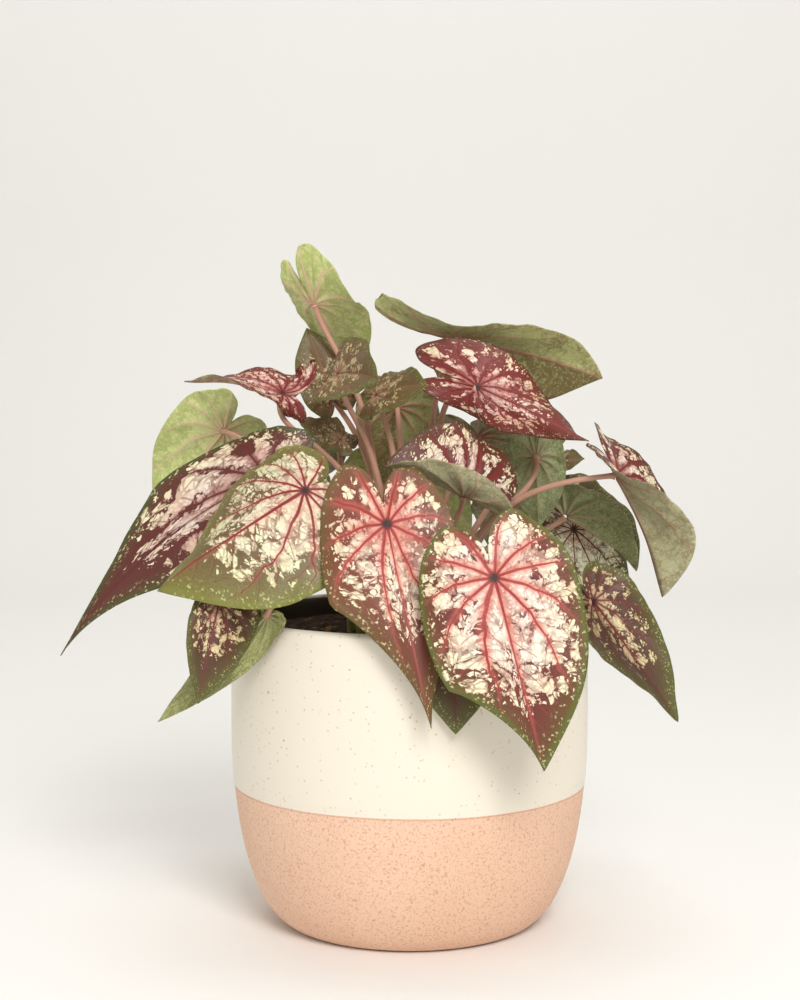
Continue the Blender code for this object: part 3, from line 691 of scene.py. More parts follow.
def grid_normals(points):
    """Unit normals of a grid whose rows run outward and whose columns close round."""
    outward = np.gradient(points, axis=0)
    round_ = np.roll(points, -1, axis=1) - np.roll(points, 1, axis=1)
    normal = np.cross(outward, round_)
    return normal / np.linalg.norm(normal, axis=-1, keepdims=True)


def blade_surface(leaf, settings, seed):
    """Rows of points round the joint: up the upper side to the margin and back down the
    underside, then their flat heart places and their shares of the way to the margin.

    The middle surface is the bent heart.  Waves of the margin, slow swells and the rise
    of the lamina between the veins move it along its normal."""
    scale, turn = placing(leaf)
    step = np.arange(BLADE_TURNS)
    even = np.where(2 * step > BLADE_TURNS, step - BLADE_TURNS, step) * math.tau / BLADE_TURNS
    theta = even - RIM_CROWDING * np.sin(2.0 * even)
    reach = (np.arange(1, BLADE_RINGS + 1) / BLADE_RINGS)[:, None] ** 0.9
    reach = (reach - reach[0]) / (1.0 - reach[0])
    boss = BOSS_RADIUS / scale
    edge_along, edge_across = outline(leaf, theta)
    along = boss * np.cos(theta) * (1.0 - reach) + edge_along * reach
    across = boss * np.sin(theta) * (1.0 - reach) + edge_across * reach
    heart = heart_radius(theta) * reach + boss * (1.0 - reach)
    flat = np.stack([heart * np.cos(theta), heart * np.sin(theta)], -1)
    middle = bent_blade(leaf, along, across) * scale @ turn.T + np.array(leaf.joint, float)
    normal = grid_normals(middle)
    between, from_vein = vein_lines(flat[..., 0], flat[..., 1])
    swell = np.sin(9.0 * along + seed) * np.cos(11.0 * across + 2.0 * seed)
    ruffle = np.sin(17.0 * theta + seed) + 0.6 * np.sin(29.0 * theta + 3.0 * seed)
    height = leaf.wave * reach ** 2.5 * np.sin(leaf.waves * theta)
    height = height + settings.ruffle * 1000.0 * reach ** 7 * ruffle
    height = height + 0.7 * reach * swell
    puff = np.sin(0.5 * math.pi * between) ** 2 * np.sin(math.pi * reach ** 0.8)
    height = height + settings.puff * 1000.0 * puff
    middle = middle + height[..., None] * normal
    normal = grid_normals(middle)
    half = 500.0 * settings.thickness * (1.0 - 0.45 * reach ** 4)
    ridge = np.exp(-(from_vein / RIB_WIDTH) ** 2) * (1.0 - 0.8 * reach)
    ridge = ridge * np.where(np.abs(theta) < 0.12, 1.5, 1.0)
    upper = middle + normal * (half - 0.15 * ridge)[..., None]
    under = middle - normal * (half + settings.rib * 1000.0 * ridge)[..., None]
    outward = middle[-1] - middle[-2]
    outward = outward / np.linalg.norm(outward, axis=-1, keepdims=True)
    margin = middle[-1] + outward * half[-1]
    rows = np.concatenate([upper, margin[None], under[::-1]])
    flats = np.concatenate([flat, flat[-1:], flat[::-1]])
    full = reach * np.ones_like(theta)
    shares = np.concatenate([full, full[-1:], full[::-1]])
    return rows, flats, shares


def ring_of(leaf):
    """The crown ring whose petioles carry joints as high as this leaf's."""
    for number, ring in enumerate(CROWN_RINGS):
        if leaf.joint[2] > ring[0]:
            return number
    return len(CROWN_RINGS) - 1


def spread_apart(turns, gap):
    """Moves angles round a ring until neighbours stand at least `gap` apart."""
    for _ in range(SPREAD_ROUNDS):
        order = sorted(range(len(turns)), key=lambda index: turns[index] % math.tau)
        moves = [0.0] * len(turns)
        for here, after in zip(order, order[1:] + order[:1]):
            short = gap - (turns[after] - turns[here]) % math.tau
            if short > 0.0:
                moves[here] -= 0.25 * short
                moves[after] += 0.25 * short
        turns = [turn + move for turn, move in zip(turns, moves)]
    return turns


def place_feet(leaves):
    """Sets each petiole's foot on its ring, on its joint's side of the crown, and its
    rise and reach where the leaf has none of its own."""
    for number, (_, radius, rise, reach) in enumerate(CROWN_RINGS):
        group = [leaf for leaf in leaves if ring_of(leaf) == number]
        turns = []
        for leaf in group:
            away_x = leaf.joint[0] - CROWN_PLACE[0]
            away_y = leaf.joint[1] - CROWN_PLACE[1]
            own = math.radians(leaf.turn)
            turns.append(own if leaf.turn >= 0.0 else math.atan2(away_y, away_x) % math.tau)
        for leaf, turn in zip(group, spread_apart(turns, FOOT_SPACE / radius)):
            x = CROWN_PLACE[0] + radius * math.cos(turn)
            y = CROWN_PLACE[1] + radius * math.sin(turn)
            leaf.foot = (x, y)
            leaf.rise = leaf.rise or rise
            leaf.reach = leaf.reach or reach


def petiole_surface(leaf):
    """Rows of points round the petiole from the joint to the foot, and their flat places
    (turn round the stem, share of the way up).

    The path is one cubic from the joint to the neck and then a straight foot.  The
    radius widens towards the foot, and flares where it joins the blade."""
    scale, turn = placing(leaf)
    zero = np.zeros(1)
    forward, over, out = (axis[0] @ turn.T for axis in rib_frame(leaf, zero, zero + 1.0))
    lean = math.radians(leaf.hang)
    arrive = out * math.cos(lean) + forward * math.sin(lean)
    joint = np.array(leaf.joint, float)
    foot = np.array([*leaf.foot, PETIOLE_FOOT])
    neck = np.array([*leaf.foot, PETIOLE_NECK])
    under = joint - STEM_DROP * out
    distance = np.linalg.norm(under - foot)
    start = under - arrive * STEM_LEAD
    lift = np.array([0.0, 0.0, leaf.rise * distance])
    knots = [start, start - arrive * leaf.reach * distance, neck + lift, neck]
    s = np.linspace(0.0, 1.0, STEM_RINGS - 4)[:, None] ** 1.15
    curve = (
        (1 - s) ** 3 * knots[0] + 3 * s * (1 - s) ** 2 * knots[1]
        + 3 * s * s * (1 - s) * knots[2] + s ** 3 * knots[3]
    )
    top = joint - out * STEM_SINK - arrive * 0.2
    lead = [top, top + 0.35 * (start - top), top + 0.7 * (start - top)]
    path = np.concatenate([np.array(lead), curve, foot[None]])
    heading = np.gradient(path, axis=0)
    heading = heading / np.linalg.norm(heading, axis=1, keepdims=True)
    length = np.concatenate([[0.0], np.cumsum(np.linalg.norm(np.diff(path, axis=0), axis=1))])
    share = length / length[-1]
    first = np.empty_like(path)
    axis = over - heading[0] * (over @ heading[0])
    for index in range(STEM_RINGS):
        axis = axis - heading[index] * (axis @ heading[index])
        axis = axis / np.linalg.norm(axis)
        first[index] = axis
    second = np.cross(heading, first)
    radius = PETIOLE_TOP_RADIUS + (PETIOLE_BASE_RADIUS - PETIOLE_TOP_RADIUS) * share
    radius = radius * (1.0 + 0.6 * np.exp(-length / 1.6))
    around = np.arange(STEM_SIDES) * math.tau / STEM_SIDES
    sideways = np.cos(around)[None, :, None] * first[:, None]
    ring = sideways + np.sin(around)[None, :, None] * second[:, None]
    rows = path[:, None] + radius[:, None, None] * ring
    turns = np.abs(around / math.pi - 1.0) * np.ones_like(radius)[:, None]
    flats = np.stack([turns, (1.0 - share)[:, None] * np.ones_like(turns)], -1)
    return rows, flats


def closed_faces(first, rows, columns):
    """Quads between the rows of a grid that closes round, and fans of triangles from a
    pole at each end.  The poles are the points just after the grid."""
    row = np.arange(rows - 1)[:, None] * columns + first
    here = np.arange(columns)[None, :]
    after = (here + 1) % columns
    quads = np.stack([row + here, row + columns + here, row + columns + after, row + after], -1)
    start = first + rows * columns
    last = first + (rows - 1) * columns
    column = np.arange(columns)
    beyond = (column + 1) % columns
    near = np.stack([np.full(columns, start), first + column, first + beyond], -1)
    far = np.stack([last + column, np.full(columns, start + 1), last + beyond], -1)
    return quads.reshape(-1, 4).tolist(), near.tolist(), far.tolist()


def closed_points(rows):
    """The points of a grid with its two poles, the means of the end rows, after them."""
    ends = np.stack([rows[0].mean(0), rows[-1].mean(0)])
    return np.concatenate([rows.reshape(-1, rows.shape[-1]), ends])


def write_mesh(name, points, faces, materials, slots, flat=None, shares=None):
    """Makes a smooth shaded piece at the origin from points in millimetres.  `flat` is
    written as the UV map "heart", and each entry of `shares` as a point attribute."""
    mesh = bpy.data.meshes.new(name)
    mesh.from_pydata((points * MM).tolist(), [], faces)
    for material in materials:
        mesh.materials.append(material)
    mesh.polygons.foreach_set("material_index", slots)
    if flat is not None:
        corners = np.empty(len(mesh.loops), np.int32)
        mesh.loops.foreach_get("vertex_index", corners)
        layer = mesh.uv_layers.new(name="heart")
        layer.data.foreach_set("uv", flat[corners].astype(np.float32).ravel())
    for label, values in (shares or {}).items():
        layer = mesh.attributes.new(label, "FLOAT", "POINT")
        layer.data.foreach_set("value", values.astype(np.float32))
    mesh.shade_smooth()
    piece = bpy.data.objects.new(name, mesh)
    bpy.context.scene.collection.objects.link(piece)
    return piece


def add_leaf(leaf, settings, materials, seed):
    """One leaf: a closed blade with its two finishes, and a closed petiole under it."""
    rows, flats, reach = blade_surface(leaf, settings, seed)
    stem, stem_flats = petiole_surface(leaf)
    points = np.concatenate([closed_points(rows), closed_points(stem)])
    flat = np.concatenate([closed_points(flats) + 0.5, closed_points(stem_flats)])
    reach = closed_points(reach[..., None])[:, 0]
    reach = np.concatenate([reach, np.zeros(stem[..., 0].size + 2)])
    first = rows[..., 0].size + 2
    quads, near, far = closed_faces(0, len(rows), BLADE_TURNS)
    stem_quads, stem_near, stem_far = closed_faces(first, len(stem), STEM_SIDES)
    faces = quads + near + far + stem_quads + stem_near + stem_far
    upper_side = BLADE_RINGS * BLADE_TURNS
    slots = np.ones(len(faces), np.int32)
    slots[:upper_side] = 0
    slots[len(quads):len(quads) + len(near)] = 0
    slots[len(quads) + len(near) + len(far):] = 2
    shares = {"reach": reach, "seed": np.full(len(points), seed)}
    finishes = [materials[leaf.look], materials[leaf.look + "_under"], materials["petiole"]]
    piece = write_mesh(leaf.name + "_fine", points, faces, finishes, slots, flat, shares)
    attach(piece, "root")
    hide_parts(leaf.name)
    return piece


# Jar and soil

JAR_BASE = 56.0
JAR_SHOULDER = 95.0
JAR_POWER = 2.1
JAR_WALL = 6.0
JAR_FLOOR = 9.0
JAR_COLUMNS = 160
GLAZE_STEP = 0.8
# Heights in metres where the painted shade on the inner wall fades out at the top and fades in at
# the foot
INNER_SHADE_TOP = (0.1518, 0.1504)
INNER_SHADE_FOOT = (0.08, 0.1)
SOIL_GAP = 0.5
SOIL_TOP = 141.0
SOIL_DOME = 5.0
SOIL_RINGS = 75
SOIL_COLUMNS = 200
CRUMB_WAVES = 12


def shoulder(foot, floor, radius, count):
    """Radii and heights of a superellipse quarter from (foot, floor) up to the widest
    radius at JAR_SHOULDER: the radius grows with a power of the sine and the depth with
    the same power of the cosine of one running angle."""
    turn = np.linspace(0.0, 0.5 * math.pi, count)
    across = np.sin(turn) ** (2.0 / JAR_POWER)
    down = np.cos(turn) ** (2.0 / JAR_POWER)
    return foot + (radius - foot) * across, JAR_SHOULDER - (JAR_SHOULDER - floor) * down


def turned(radius, height, columns):
    """Rows of points: each (radius, height) of a profile carried round the axis."""
    around = np.arange(columns) * math.tau / columns
    return np.stack([
        radius[:, None] * np.cos(around), radius[:, None] * np.sin(around),
        height[:, None] * np.ones_like(around)], -1)


def jar_surface(settings):
    """Rows of points round the jar, from under its base up the wall, over the lip and
    down inside.  Wall and inside are shoulders with a straight neck, the lip is half a
    circle, and the bare clay below the glaze line stands back a little."""
    outer_radius, outer_height = shoulder(JAR_BASE, 0.0, JAR_RADIUS, 48)
    neck = np.linspace(JAR_SHOULDER, JAR_HEIGHT - 0.5 * JAR_WALL, 26)[1:]
    outer_radius = np.concatenate([outer_radius, np.full_like(neck, JAR_RADIUS)])
    outer_height = np.concatenate([outer_height, neck])
    step = np.clip((outer_height - settings.glaze_line * 1000.0) / GLAZE_STEP, -1.0, 1.0)
    outer_radius = outer_radius - 0.2 * (1.0 - step) * (outer_height > 2.0)
    outer_height[0], outer_radius[0] = 1.2, JAR_BASE
    lip = np.linspace(0.0, math.pi, 14)[1:-1]
    lip_radius = JAR_RADIUS - 0.5 * JAR_WALL + 0.5 * JAR_WALL * np.cos(lip)
    lip_height = JAR_HEIGHT - 0.5 * JAR_WALL + 0.5 * JAR_WALL * np.sin(lip)
    inner_base = JAR_BASE - 0.5 * JAR_WALL
    inner_radius, inner_height = shoulder(inner_base, JAR_FLOOR, JAR_RADIUS - JAR_WALL, 48)
    radius = np.concatenate([
        [20.0, 40.0, 50.0, 53.6, 55.0], outer_radius, lip_radius,
        np.full_like(neck, JAR_RADIUS - JAR_WALL), inner_radius[::-1], [30.0, 8.0]])
    height = np.concatenate([
        [0.0, 0.0, 0.0, 0.0, 0.35], outer_height, lip_height, neck[::-1],
        inner_height[::-1], [JAR_FLOOR, JAR_FLOOR]])
    return turned(radius, height, JAR_COLUMNS)


def stoneware_material(settings):
    """Satin cream glaze with sparse specks and faint freckles above the glaze line, bare
    pink clay with dense rusty speckle below it, a thin darker line between them, and
    painted shade, a near-black brown, down the inner wall below the rim."""
    material, wire, shader = new_material("speckled_stoneware")
    place = wire.object_place()
    x, y, height = wire.split(place)
    drift = wire.noise(place, 14.0, 2.0)
    height = wire.times_plus(wire.minus(drift, 0.5), 0.0012, height)
    line = settings.glaze_line
    glazed = wire.rise(height, line - 0.0002, line + 0.0002)
    edge = wire.math("ABSOLUTE", wire.minus(height, line - 0.0004))
    clouds = wire.noise(place, 9.0, 4.0)

    # Glaze
    cream = wire.paint(tuple(settings.glaze), clouds, 0.5, screen(240, 228, 204))
    pick = wire.pick(place, SPECK_CELLS, 0)
    size = wire.times_plus(wire.rise(pick, 0.9, 1.0), 0.14, 0.05)
    dots = wire.math("LESS_THAN", wire.cells(place, SPECK_CELLS), size)
    speck = wire.times(dots, wire.rise(pick, 0.9, 0.93))
    cream = wire.paint(cream, speck, 0.6, screen(164, 122, 84))
    faint = wire.rise(wire.cells(place, FRECKLE_CELLS), 0.3, 0.2)
    freckle = wire.times(faint, wire.rise(wire.pick(place, FRECKLE_CELLS, 1), 0.74, 0.9))
    cream = wire.paint(cream, freckle, 0.55, screen(200, 168, 126))

    # Clay, and the darker line over both
    grain = wire.noise(place, 850.0, 3.0, 0.7)
    fine = wire.noise(place, 1500.0, 2.0, 0.7)
    clay = wire.blend(clouds, tuple(settings.clay), screen(222, 178, 148))
    clay = wire.paint(clay, wire.rise(grain, 0.52, 0.66), 0.5, screen(176, 108, 80))
    clay = wire.paint(clay, wire.rise(fine, 0.56, 0.7), 0.4, screen(140, 84, 62))
    colour = wire.blend(glazed, clay, cream)
    colour = wire.paint(colour, wire.rise(edge, 0.0007, 0.0), 0.5, screen(198, 134, 104))

    # Painted shade: the inner wall below the rim darkened to a near-black brown
    away = wire.vector("LENGTH", wire.join(x, y))
    inside = wire.rise(away, MM * (JAR_RADIUS - 4.0), MM * (JAR_RADIUS - 5.5))
    inner_shade = wire.times(inside, wire.rise(height, *INNER_SHADE_TOP))
    inner_shade = wire.times(inner_shade, wire.rise(height, *INNER_SHADE_FOOT))
    rough = wire.times(grain, wire.minus(1.0, glazed))
    ripple = wire.times_plus(clouds, 0.6, wire.times_plus(rough, 0.7, speck))
    # The base colour turns near-black brown on the inner wall below the rim: painted shade
    wire.fill(shader, {
        "Base Color": wire.blend(inner_shade, colour, screen(44, 34, 24)),
        "Roughness": wire.times_plus(glazed, -0.4, 0.8),
        "Normal": wire.bump(ripple, 0.15, 0.0006),
        "Coat Roughness": 0.25, "Coat Weight": wire.times(glazed, 0.25)})
    return material


def soil_surface(settings):
    """Rows of points round the soil: under it, up its side, and in over its top.  The
    top is a low dome with crumbs, a sum of sines whose waves cross at uneven angles."""
    wall = 1000.0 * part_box("potting_soil")[1][0]
    inward = np.linspace(1.0, 0.0, SOIL_RINGS + 1)[:-1, None] ** 0.8
    around = np.arange(SOIL_COLUMNS) * math.tau / SOIL_COLUMNS
    x = wall * inward * np.cos(around)
    y = wall * inward * np.sin(around)
    crumb = np.zeros_like(x)
    for step in range(1, CRUMB_WAVES + 1):
        wave = 0.16 + 0.085 * step
        bearing = 2.4 * step
        phase = np.sin(0.07 * x + step) + np.cos(0.06 * y - step)
        ahead = wave * (x * math.cos(bearing) + y * math.sin(bearing))
        crumb = crumb + np.sin(ahead + 2.0 * phase)
    crumb = 0.55 * crumb / 3.0
    height = SOIL_TOP + SOIL_DOME * (1.0 - inward ** 2) * np.ones_like(around)
    height = height + settings.crumb * 1000.0 * crumb * np.clip((1.0 - inward) * 12.0, 0.0, 1.0)
    foot, floor = JAR_BASE - 0.5 * JAR_WALL - SOIL_GAP, JAR_FLOOR + SOIL_GAP
    radius, side_height = shoulder(foot, floor, wall, 16)
    side = turned(np.concatenate([[20.0], radius]), np.concatenate([[floor], side_height]),
                  SOIL_COLUMNS)
    return np.concatenate([side, np.stack([x, y, height], -1)])


def soil_material():
    """Dark peat with paler bark crumbs and a rough broken surface."""
    material, wire, shader = new_material("peat_soil")
    place = wire.object_place()
    lumps = wire.noise(place, 160.0, 5.0, 0.7)
    pick = wire.pick(place, BARK_CELLS, 0)
    colour = wire.blend(wire.rise(lumps, 0.35, 0.7), screen(34, 24, 18), screen(78, 56, 40))
    wire.fill(shader, {
        "Base Color": wire.paint(colour, wire.rise(pick, 0.86, 0.9), 0.7, screen(150, 112, 76)),
        "Normal": wire.bump(wire.times_plus(pick, 0.5, lumps), 0.9, 0.002),
        "Roughness": 0.95})
    return material


def add_turned(name, rows, material, node):
    """A closed turned piece with one finish, standing for one node."""
    quads, near, far = closed_faces(0, len(rows), rows.shape[1])
    faces = [face[::-1] for face in quads + near + far]
    slots = np.zeros(len(faces), np.int32)
    piece = write_mesh(name, closed_points(rows), faces, [material], slots)
    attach(piece, "root")
    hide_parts(node)
    return piece


# Stage

BACKDROP_DEPTH = 1400.0
BACKDROP_BEND = 500.0
BACKDROP_COLUMNS = 9
CAMERA_ASIDE = -0.00465
LENS_LENGTH = 66.3
LIGHTS = (
    ("key", (0.34, -1.55, 1.25), (0.0, 0.0, 0.15), 0.7, (1.0, 0.99, 0.97)),
    ("fill", (-1.4, -1.0, 0.7), (0.0, 0.0, 0.15), 1.2, (1.0, 0.93, 0.83)),
    ("wall", (0.0, 0.5, 2.6), (0.2, 1.6, 0.5), 1.6, (1.0, 0.99, 0.97)),
)


def backdrop_material(colour):
    """A plain matte paint with a faint unevenness."""
    material, wire, shader = new_material("backdrop_paint")
    cloud = wire.noise(wire.object_place(), 1.5, 3.0)
    wire.fill(shader, {
        "Base Color": wire.paint(colour, cloud, 0.35, tuple(0.93 * v for v in colour)),
        "Roughness": 0.75})
    return material


def add_light(name, place, target, size, watts, colour):
    """A square soft light at `place` that looks at `target`."""
    lamp = bpy.data.lights.new(name, "AREA")
    lamp.shape = "SQUARE"
    lamp.size = size
    lamp.energy = watts
    lamp.color = colour
    holder = bpy.data.objects.new(name, lamp)
    holder.location = place
    aim = np.array(target) - np.array(place)
    level = math.hypot(aim[0], aim[1])
    holder.rotation_euler = (math.atan2(level, -aim[2]), 0.0, math.atan2(-aim[0], aim[1]))
    bpy.context.scene.collection.objects.link(holder)


def add_backdrop(settings):
    """A floor that sweeps up into a wall: a line, a quarter circle and a line, drawn
    across the stage."""
    turn = np.linspace(0.0, 0.5 * math.pi, 24)
    sweep = BACKDROP_DEPTH + BACKDROP_BEND * np.sin(turn)
    depth = np.concatenate([[-2500.0, 0.0], sweep, [BACKDROP_DEPTH + BACKDROP_BEND]])
    rise = np.concatenate([[0.0, 0.0], BACKDROP_BEND - BACKDROP_BEND * np.cos(turn), [3500.0]])
    wide = np.linspace(-4000.0, 4000.0, BACKDROP_COLUMNS)
    rows = np.stack(np.broadcast_arrays(wide[None, :], depth[:, None], rise[:, None]), -1)
    row = np.arange(len(depth) - 1)[:, None] * BACKDROP_COLUMNS
    first = row + np.arange(BACKDROP_COLUMNS - 1)[None, :]
    above = first + BACKDROP_COLUMNS
    faces = np.stack([first, first + 1, above + 1, above], -1).reshape(-1, 4).tolist()
    paint = backdrop_material(tuple(settings.backdrop))
    slots = np.zeros(len(faces), np.int32)
    return write_mesh("studio_backdrop", rows.reshape(-1, 3), faces, [paint], slots)


# Settings


def length_property(label, text, value, **limits):
    """A float property in metres."""
    return bpy.props.FloatProperty(
        name=label, description=text, default=value, unit="LENGTH", precision=4, **limits)


def power_property(label, text, value):
    """A float property in watts."""
    return bpy.props.FloatProperty(
        name=label, description=text, default=value, unit="POWER", min=0.0)


def colour_property(label, text, value):
    """A colour property."""
    return bpy.props.FloatVectorProperty(
        name=label, description=text, default=value, subtype="COLOR", size=3, min=0.0, max=1.0)


class CaladiumLeafSettings(bpy.types.PropertyGroup):
    """Sizes and colours of the leaves."""

    thickness: length_property(
        "Blade thickness", "Thickness of a blade at its rib", 0.0007, min=0.0002)
    ruffle: length_property("Ruffle", "Height of the small waves along the margin", 0.0003)
    puff: length_property("Puff", "Rise of the blade between its veins", 0.0006)
    rib: length_property("Rib", "Height of the veins under the blade", 0.0008)
    cream: colour_property("Cream", "Pale parts between the veins", screen(253, 246, 228))
    blush: colour_property("Blush", "Pink tint of the pale parts", screen(236, 178, 160))
    vein: colour_property("Vein", "Main veins", screen(158, 56, 54))
    halo: colour_property("Halo", "Soft edge of the main veins", screen(214, 116, 102))
    patch: colour_property("Patch", "Dark patches towards the margin", screen(108, 50, 42))
    margin: colour_property("Margin", "Green band along the margin", screen(94, 98, 40))
    petiole_high: colour_property("Petiole, high", "Petiole near the blade", screen(200, 152, 130))
    petiole_low: colour_property("Petiole, low", "Petiole near the soil", screen(160, 170, 104))


class CaladiumJarSettings(bpy.types.PropertyGroup):
    """Sizes and colours of the jar and its soil."""

    glaze_line: length_property("Glaze line", "Height at which the glaze ends", 0.0689)
    glaze: colour_property("Glaze", "Satin glaze of the upper part", screen(234, 227, 213))
    clay: colour_property("Clay", "Bare clay of the lower part", screen(247, 214, 190))
    crumb: length_property("Crumb", "Height of the soil's crumbs", 0.0011)


class CaladiumStageSettings(bpy.types.PropertyGroup):
    """The camera's height, the backdrop and the strength of the lights."""

    camera_distance: length_property("Camera distance", "Camera in front of the jar's axis", 0.9)
    camera_height: length_property("Camera height", "Camera above the floor", 0.2656)
    camera_pitch: bpy.props.FloatProperty(
        name="Camera pitch", description="How far the camera looks down", default=0.0654,
        subtype="ANGLE")
    backdrop: colour_property("Backdrop", "Floor and wall behind the plant", screen(246, 245, 243))
    key_watts: power_property("Key light", "Power of the key light", 26.0)
    fill_watts: power_property("Fill light", "Power of the fill light", 2.0)
    wall_watts: power_property("Wall light", "Power of the light on the backdrop", 19.5)
    sky_strength: bpy.props.FloatProperty(
        name="Sky", description="Strength of the even light from all round", default=0.44,
        min=0.0)


LEAF_FINISHES = {
    "heart": {},
    "middle": {
        "Patch Share": 0.09, "Bank Share": 0.1, "Patch": (122, 66, 52), "Halo Share": 0.85,
        "Margin": (108, 84, 46), "Tip Start": 0.58, "Cream": (240, 234, 210),
        "Tip": (120, 56, 48), "Green Start": 0.7, "Edge Share": 0.7},
    "left": {
        "Cream": (230, 228, 196), "Blush Share": 0.15, "Halo Share": 0.35,
        "Patch Share": 0.05, "Patch": (106, 88, 54), "Bank Share": 0.05,
        "Fleck": (206, 212, 140), "Tip": (138, 94, 62), "Vein": (132, 34, 40),
        "Margin": (124, 124, 58), "Green Start": 0.7, "Edge Share": 0.95},
    "tail": {
        "Cream": (234, 222, 206), "Blush": (212, 146, 138), "Blush Share": 0.6,
        "Halo": (108, 44, 40), "Halo Share": 0.75, "Patch Share": 0.02,
        "Patch": (92, 44, 38), "Bank Share": 0.2, "Margin": (74, 76, 36),
        "Tip": (104, 44, 42), "Vein": (102, 34, 34), "Tip Start": 0.55},
    "crest": {
        "Cream": (240, 212, 198), "Blush": (206, 100, 94), "Blush Share": 0.8,
        "Halo": (138, 50, 46), "Halo Share": 0.8, "Patch Share": 0.14,
        "Patch": (118, 48, 42), "Bank Share": 0.2, "Margin": (96, 50, 38),
        "Tip": (120, 38, 40), "Vein": (112, 32, 32), "Net": (130, 50, 46)},
    "red": {
        "Cream": (238, 226, 208), "Blush": (210, 134, 120), "Blush Share": 0.4,
        "Halo": (134, 50, 46), "Halo Share": 0.9, "Patch Share": 0.02,
        "Patch": (98, 42, 36), "Bank Share": 0.35, "Margin": (88, 58, 38),
        "Vein": (122, 36, 36), "Tip": (116, 40, 42)},
    "white": {
        "Cream": (222, 228, 198), "Blush Share": 0.1, "Halo Share": 0.2,
        "Vein": (104, 34, 40), "Patch": (90, 78, 52), "Net Share": 0.8,
        "Patch Share": 0.02, "Margin": (76, 84, 44)},
    "olive": {
        "Cream": (206, 196, 146), "Blush": (190, 140, 116), "Blush Share": 0.5,
        "Halo": (150, 96, 76), "Halo Share": 0.5, "Patch Share": 0.24,
        "Patch": (108, 88, 56), "Fleck": (196, 192, 124), "Vein": (150, 96, 80),
        "Tip": (112, 90, 60), "Net": (92, 76, 52), "Margin": (94, 96, 48)},
    "dark": {
        "Cream": (214, 204, 156), "Blush Share": 0.3, "Halo Share": 0.5,
        "Halo": (120, 56, 50), "Patch Share": 0.22, "Patch": (84, 54, 40),
        "Fleck": (206, 200, 136), "Vein": (112, 42, 42), "Margin": (90, 92, 44),
        "Tip": (104, 56, 44), "Green Start": 0.66},
}

UNDER_FINISHES = {
    "heart": {},
    "middle": {},
    "left": {"Base": (204, 210, 142), "Cloud": (158, 172, 96),
             "Vein": (220, 186, 158), "Fleck": (228, 228, 180), "Fleck Share": 0.3},
    "tail": {"Base": (166, 160, 124), "Cloud": (114, 94, 74)},
    "crest": {"Base": (168, 158, 124), "Cloud": (116, 84, 70)},
    "red": {"Base": (178, 176, 140), "Cloud": (138, 128, 96), "Cloud Share": -0.1,
            "Vein": (170, 124, 106)},
    "white": {"Base": (164, 168, 108), "Cloud": (118, 120, 68),
              "Vein": (176, 172, 126), "Fleck Share": 0.5},
    "olive": {"Base": (176, 182, 122), "Cloud": (124, 106, 66), "Cloud Share": -0.18,
              "Half Share": 0.4},
    "dark": {"Base": (158, 168, 120), "Cloud": (114, 122, 80),
             "Vein": (178, 158, 128)},
}


def linear(values):
    """The same values with their screen colours made linear."""
    return {
        label: screen(*value) if isinstance(value, tuple) else value
        for label, value in values.items()}


def leaf_materials(settings):
    """Every leaf finish by name: two for each look, and the petiole's."""
    venation = venation_group()
    upper = upper_group(venation)
    under = under_group(venation)
    common = {
        label: tuple(getattr(settings, label.lower()))
        for label in ("Cream", "Blush", "Vein", "Halo", "Patch", "Margin")}
    made = {"petiole": petiole_material(settings)}
    for look, values in LEAF_FINISHES.items():
        made[look] = side_material("blade_" + look, upper, {**common, **linear(values)})
        made[look + "_under"] = side_material(
            "underside_" + look, under, linear(UNDER_FINISHES[look]))
    return made


# Operators


class CALADIUM_OT_leaves(bpy.types.Operator):
    """Builds every leaf with its petiole"""

    bl_idname = "caladium.leaves"
    bl_label = "Leaves"

    def execute(self, context):
        settings = context.scene.caladium_leaf
        materials = leaf_materials(settings)
        place_feet(LEAVES)
        for number, leaf in enumerate(LEAVES):
            add_leaf(leaf, settings, materials, 1.0 + 1.7 * number)
        return {"FINISHED"}


class CALADIUM_OT_jar(bpy.types.Operator):
    """Builds the half-glazed jar"""

    bl_idname = "caladium.jar"
    bl_label = "Jar"

    def execute(self, context):
        settings = context.scene.caladium_jar
        material = stoneware_material(settings)
        add_turned("stoneware_jar", jar_surface(settings), material, "pot")
        return {"FINISHED"}


class CALADIUM_OT_soil(bpy.types.Operator):
    """Builds the crumbly soil in the jar"""

    bl_idname = "caladium.soil"
    bl_label = "Soil"

    def execute(self, context):
        settings = context.scene.caladium_jar
        material = soil_material()
        add_turned(
            "crumbly_soil", soil_surface(settings), material, "potting_soil")
        return {"FINISHED"}


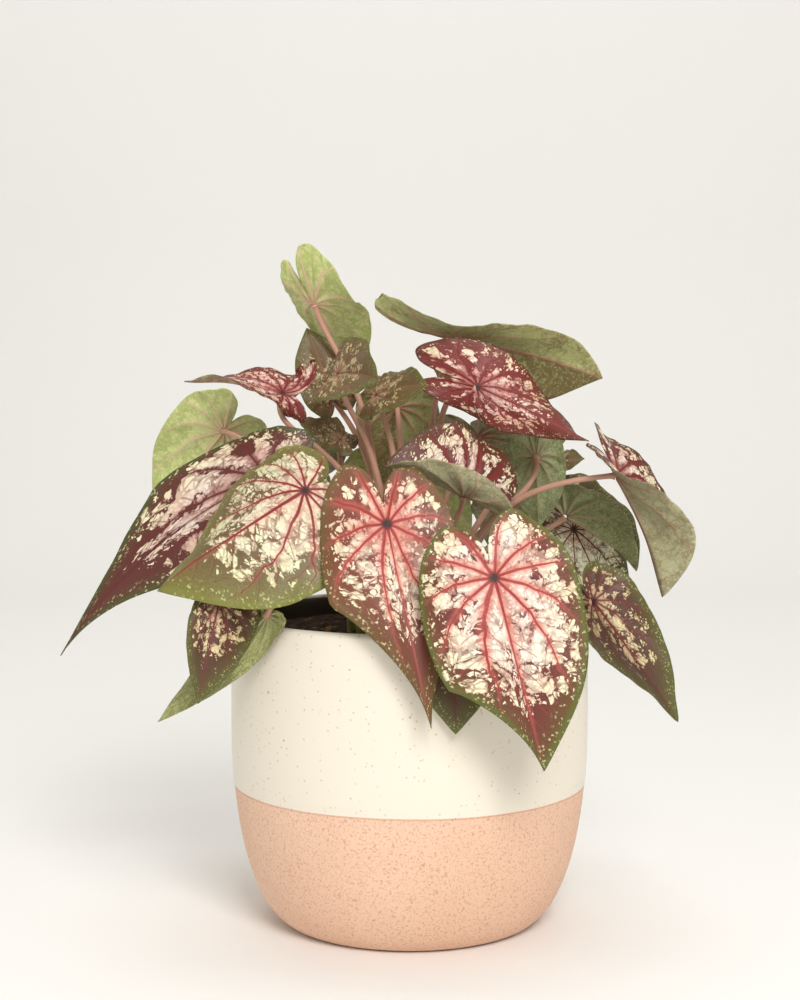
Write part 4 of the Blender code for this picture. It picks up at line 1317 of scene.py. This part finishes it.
class CALADIUM_OT_stage(bpy.types.Operator):
    """Builds the backdrop, the lights and the camera"""

    bl_idname = "caladium.stage"
    bl_label = "Stage"

    def execute(self, context):
        settings = context.scene.caladium_stage
        scene = context.scene
        add_backdrop(settings)
        for name, place, target, size, colour in LIGHTS:
            watts = getattr(settings, name + "_watts")
            add_light(name + "_light", place, target, size, watts, colour)
        world = bpy.data.worlds.new("studio_air")
        world.use_nodes = True
        sky = world.node_tree.nodes["Background"]
        sky.inputs["Color"].default_value = (1.0, 0.97, 0.92, 1.0)
        sky.inputs["Strength"].default_value = settings.sky_strength
        scene.world = world
        scene.view_settings.view_transform = "Standard"
        lens = bpy.data.cameras.new("camera")
        lens.lens = LENS_LENGTH
        lens.sensor_width = 36.0
        lens.clip_start = 0.01
        camera = bpy.data.objects.new("camera", lens)
        camera.location = (
            CAMERA_ASIDE, -settings.camera_distance, settings.camera_height)
        camera.rotation_euler = (0.5 * math.pi - settings.camera_pitch, 0.0, 0.0)
        scene.collection.objects.link(camera)
        scene.camera = camera
        return {"FINISHED"}


class CALADIUM_PT_sidebar(bpy.types.Panel):
    """Lists the plant's settings and the operators that build it."""

    bl_label = "Caladium"
    bl_space_type = "VIEW_3D"
    bl_region_type = "UI"
    bl_category = "Caladium"

    def draw(self, context):
        for settings, operators in (
            (context.scene.caladium_leaf, ("caladium.leaves",)),
            (context.scene.caladium_jar, ("caladium.jar", "caladium.soil")),
            (context.scene.caladium_stage, ("caladium.stage",)),
        ):
            box = self.layout.box()
            for name in settings.__annotations__:
                box.prop(settings, name)
            for operator in operators:
                box.operator(operator)


SETTINGS = {
    "caladium_leaf": CaladiumLeafSettings,
    "caladium_jar": CaladiumJarSettings,
    "caladium_stage": CaladiumStageSettings,
}
CLASSES = (
    *SETTINGS.values(), CALADIUM_OT_leaves, CALADIUM_OT_jar, CALADIUM_OT_soil,
    CALADIUM_OT_stage, CALADIUM_PT_sidebar,
)


def register():
    """Adds the classes, and the settings to every scene."""
    for kind in CLASSES:
        bpy.utils.register_class(kind)
    for name, kind in SETTINGS.items():
        setattr(bpy.types.Scene, name, bpy.props.PointerProperty(type=kind))


def unregister():
    """Takes away what register added."""
    for name in SETTINGS:
        delattr(bpy.types.Scene, name)
    for kind in reversed(CLASSES):
        bpy.utils.unregister_class(kind)


def main():
    """Builds every piece and the stage."""
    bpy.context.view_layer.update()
    register()
    bpy.ops.caladium.stage()
    bpy.ops.caladium.jar()
    bpy.ops.caladium.soil()
    bpy.ops.caladium.leaves()


if __name__ == "__main__":
    main()
